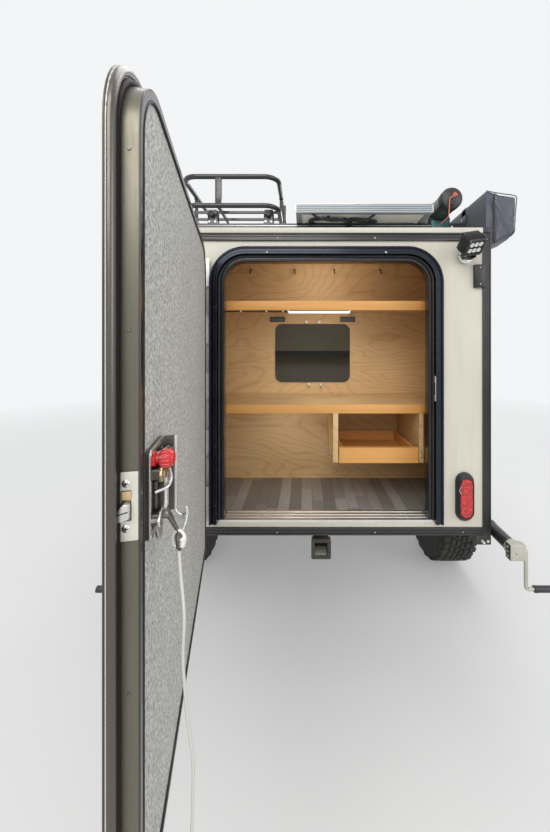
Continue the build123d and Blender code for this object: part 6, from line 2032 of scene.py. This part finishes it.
class TRAILER_OT_side_doors(bpy.types.Operator):
    """Makes the side doors' edges, window seals, handles and hinge leaves"""
    bl_idname = "trailer.side_doors"
    bl_label = "Side doors"

    DOOR = ((1492, 2138), (752, 1668), 128)
    WINDOW = ((1635, 1995), (1250, 1550), 60)
    # Sections as insets and heights, with the finish and the line they follow
    SECTIONS = (
        (((-1.4, 5.4), (-1.6, 9.0), (-1.4, 12.6), (0.2, 13.6), (8.0, 13.6), (8.8, 12.0), (0.2, 11.8),
          (0.2, 5.4)), "trim", DOOR),
        ([(9 + 2.4 * a, 3.1 + 2.7 * b) for a, b in circle(0, 0, 1, 10)], "rubber", DOOR),
        (((-24.6, 11.6), (-24.8, 17.0), (-22.6, 19.0), (-1.0, 19.0), (0.6, 16.4), (0.6, 11.6)),
         "black plastic", WINDOW),
        (((0.6, 2.0), (0.6, 8.0), (3.4, 10.2), (6.4, 4.2), (6.0, 1.5)), "rubber", WINDOW),
        (((-18.0, 18.8), (-17.6, 19.6), (-16.4, 19.6), (-16.0, 18.8)), "rubber", WINDOW),
    )
    HINGES_AT = (950, 1480)

    def door(self, sign, name):
        piece = Piece(f"side_door_{name}_parts", f"side_door_{name}", side_face(sign))
        for section, finish, line in self.SECTIONS:
            piece.skin(swept(section, drawn_in, *line), finish, around=True)
        (left, right), (low, high), _ = self.WINDOW
        middle = (low + high) / 2
        piece.box((left + 4, right - 4), span(middle, 7), (2.0, 9.5), "black plastic", 1.6)
        piece.box((left + 178, left + 206), (middle - 15, middle - 5), (8.5, 13.5), "black plastic", 1.6)
        piece.prism(rounded((1536, 1609), (1143, 1207), 9, 5), (20.6, 22.0), "black plastic", 0.7)
        piece.prism(rounded((1554, 1598), (1160, 1190), 6, 5), (29.4, 31.4), "black plastic", 1.2)
        piece.lathe((1545, 1175, 21.6), "c", [(0, 0), (6, 0), (6, 1.6), (4.4, 2.4), (0, 2.4)], "silver", 20)
        # The keyhole is a black sliver of painted shade.
        piece.box((1544.2, 1545.8), (1171, 1179), (23.6, 24.3), "recess shade", 0)
        hinge = self.DOOR[0][1] + 6
        for z in self.HINGES_AT:
            piece.prism(rounded((hinge - 44, hinge - 3), span(z, 12), 4, 3), (14.6, 16.2), "trim", 0.5)
            for back in (36, 22):
                piece.screw(hinge - back, z, 16.0, 4.0)
        piece.done()

    def execute(self, context):
        for sign, name in SIDES:
            self.door(sign, name)
        return {"FINISHED"}


class TRAILER_OT_front(bpy.types.Operator):
    """Makes the toolbox's checker sheet and latches, the coupler's parts and the chassis's bolts and wires"""
    bl_idname = "trailer.front"
    bl_label = "Tongue"

    LID = ((-459, 459), (2497, 3009), 933)
    LID_FACE = 962.3
    BOX_ENDS = (2505, 3000)
    PITCH = 27.0
    LATCH_LOCK = ((0, 0), (9, 0), (9, 2), (6.5, 3.2), (0, 3.2))
    HUB_PLATE = ((38, 0), (43, 0), (43, 18), (38, 20))
    TONGUE_BOLT = ((0, 0), (8, 0), (8, 2), (5.4, 2.2), (5.4, 8), (0, 8.6))
    RAIL_BOLT = ((0, 0), (8, 0), (8, 2), (5.5, 2.2), (5.5, 7), (0, 7.6))
    SIDE_BOLT = ((0, 0), (9, 0), (9, 3), (6, 3), (6, 7), (0, 8))
    JACK_Y = 3300

    def checker(self, piece, x, y, face, upright=False):
        """Raised lozenges in turning directions over a sheet that lies flat or stands upright."""
        across, along = [int((high - low - 20) / self.PITCH) for low, high in (x, y)]
        for i in range(across):
            for j in range(along):
                a = sum(x) / 2 + (i - (across - 1) / 2) * self.PITCH
                b = sum(y) / 2 + (j - (along - 1) / 2) * self.PITCH
                lean = radians(45 if (i + j) % 2 else -45)
                u, v = cos(lean), sin(lean)
                rows = []
                for long, wide, lift in ((11, 3, 0.0), (8.4, 1.6, 1.5)):
                    line = [(a + long * u, b + long * v), (a - wide * v, b + wide * u),
                            (a - long * u, b - long * v), (a + wide * v, b - wide * u)]
                    rows.append([(p, face + lift, q) if upright else (p, q, face + lift) for p, q in line])
                piece.skin(rows, "toolbox")

    def toolbox(self):
        lid = Piece("toolbox_lid_sheet", "toolbox_lid")
        (left, right), (near, far), low = self.LID
        self.checker(lid, (left + 6, right - 6), (near + 16, far - 12), self.LID_FACE)
        for x in (-260, 260):
            lid.prism(rounded(span(x, 30), (low - 4, low + 24), 5, 4), (0, 5.5), "black plastic", 1.2,
                      turn=to_front(far))
            lid.lathe((x, far + 5.2, low + 10), "b", self.LATCH_LOCK, "silver", 20)
        rim = [(left + 1, near + 8), (left + 1, far - 1), (right - 1, far - 1), (right - 1, near + 8)]
        lid.pipe(bent(lifted(rim, low), 8), 2.2, "toolbox", 8)
        lid.done()

        front = Piece("toolbox_sheet")
        self.checker(front, (-446, 446), (588, 918), self.BOX_ENDS[1], upright=True)
        for x in (-450, 450):
            for y in self.BOX_ENDS:
                front.pipe([(x, y, 582), (x, y, 930)], 2.4, "toolbox", 8)
        for x in (-260, 260):
            front.prism(rounded(span(x, 24), (878, 926), 5, 4), (0, 5), "black plastic", 1.2,
                        turn=to_front(self.BOX_ENDS[1]))
        front.done()

    def coupler(self):
        piece = Piece("coupler_parts")
        d = 3450
        for x in (-24, 24):
            for step in (40, 78):
                piece.lathe((x, d + step, 612), "c", self.TONGUE_BOLT, steps=6)
        lever = [(0, d + 34, 640), (0, d + 52, 652), (0, d + 84, 650), (0, d + 112, 634)]
        piece.pipe(bent(lever, 10), 5.0, "zinc", 10)
        piece.bolt((-14, d + 84, 630), "a", 7, 28, 28, sides=16)
        piece.pipe(lifted(circle(0, 3570, 33.5, 36), 528), 2.6, "chassis", 8, closed=True)
        for sign in (-1, 1):
            piece.lathe((sign * 61, 3330, 555), "a", self.SIDE_BOLT, steps=6, way=sign)
        piece.done()

    def jack(self):
        jack = Piece("tongue_jack_parts")
        y = self.JACK_Y
        for z in (592, 660, 900):
            jack.lathe((0, y, z), "c", [(28.4, 0), (31.5, 1.5), (31.5, 8), (28.4, 9.5)], "zinc", 32)
        for step in range(3):
            t = tau * (step + 0.25) / 3
            jack.bolt((39 * cos(t), y + 39 * sin(t), 595.4), "c", 6.5, 5, 5.6)
        jack.lathe((0, y, 979), "c", [(30, 0), (31, 2), (28, 6), (10, 8), (0, 8.2)], "black plastic", 32)
        # Black discs of painted shade stand for the foot's holes.
        for across, along in QUARTERS:
            jack.bolt((across * 60, y + along * 60, 5.8), "c", 7, 1.4, 1.8, "recess shade", 16)
        grip = [(12.8, 0), (14, 4), (12.9, 9)]
        for at in range(14, 75, 15):
            grip += [(13.0, at), (13.9, at + 4), (13.9, at + 8), (13.0, at + 12)]
        jack.lathe((86, y, 802), "a", grip + [(13.2, 91), (11, 93.6), (0, 93.8)], "grip", 24)
        jack.done()

    def chassis(self):
        piece = Piece("chassis_fixings")
        for sign in (-1, 1):
            for d in (240, 620, 1340, 1720, 2100):
                piece.lathe((sign * 630.4, d, 604), "a", self.RAIL_BOLT, steps=6, way=sign)
            piece.lathe((sign * 620, 940, 520), "a", self.HUB_PLATE, "chassis", 6, sign)
            run = [(sign * x, d, 574) for x, d in ((560, 150), (560, 860), (500, 900), (300, 960))]
            piece.pipe(bent(run, 40, 6), 4.0, "rubber", 8)
            for d in (260, 560, 820):
                piece.box(span(sign * 560, 7), span(d, 9), (571, 581), "black plastic", 1.2)
        piece.done()

    def execute(self, context):
        self.toolbox()
        self.coupler()
        self.jack()
        self.chassis()
        return {"FINISHED"}


# Panel and run

class TRAILER_PT_panel(bpy.types.Panel):
    """Lists the trailer's colours, sizes and steps in the sidebar"""
    bl_label = "Teardrop Trailer"
    bl_idname = "TRAILER_PT_panel"
    bl_space_type = "VIEW_3D"
    bl_region_type = "UI"
    bl_category = "Trailer"

    def draw(self, context):
        for group in (context.scene.trailer_sizes, context.scene.trailer_colours):
            column = self.layout.column()
            for name in group.bl_rna.properties.keys():
                if name not in ("rna_type", "name"):
                    column.prop(group, name)
        for step in STEPS:
            self.layout.operator(step.bl_idname)


STEPS = [TRAILER_OT_finishes, TRAILER_OT_stage, TRAILER_OT_door_cord, TRAILER_OT_rear_frame,
         TRAILER_OT_body_trims, TRAILER_OT_tail_lamps, TRAILER_OT_work_lamp, TRAILER_OT_galley,
         TRAILER_OT_rear_door, TRAILER_OT_rear_jacks, TRAILER_OT_roof, TRAILER_OT_awning,
         TRAILER_OT_wheels, TRAILER_OT_side_doors, TRAILER_OT_front]
CLASSES = [TrailerColours, TrailerSizes, TRAILER_PT_panel] + STEPS


def register():
    """Registers the classes and the scene's properties."""
    for made in CLASSES:
        bpy.utils.register_class(made)
    bpy.types.Scene.trailer_colours = bpy.props.PointerProperty(type=TrailerColours)
    bpy.types.Scene.trailer_sizes = bpy.props.PointerProperty(type=TrailerSizes)


def unregister():
    """Removes them again."""
    del bpy.types.Scene.trailer_sizes
    del bpy.types.Scene.trailer_colours
    for made in reversed(CLASSES):
        bpy.utils.unregister_class(made)


def main():
    """Registers the classes and runs every step in order."""
    register()
    for step in STEPS:
        area, name = step.bl_idname.split(".")
        getattr(getattr(bpy.ops, area), name)()


if __name__ == "__main__":
    main()
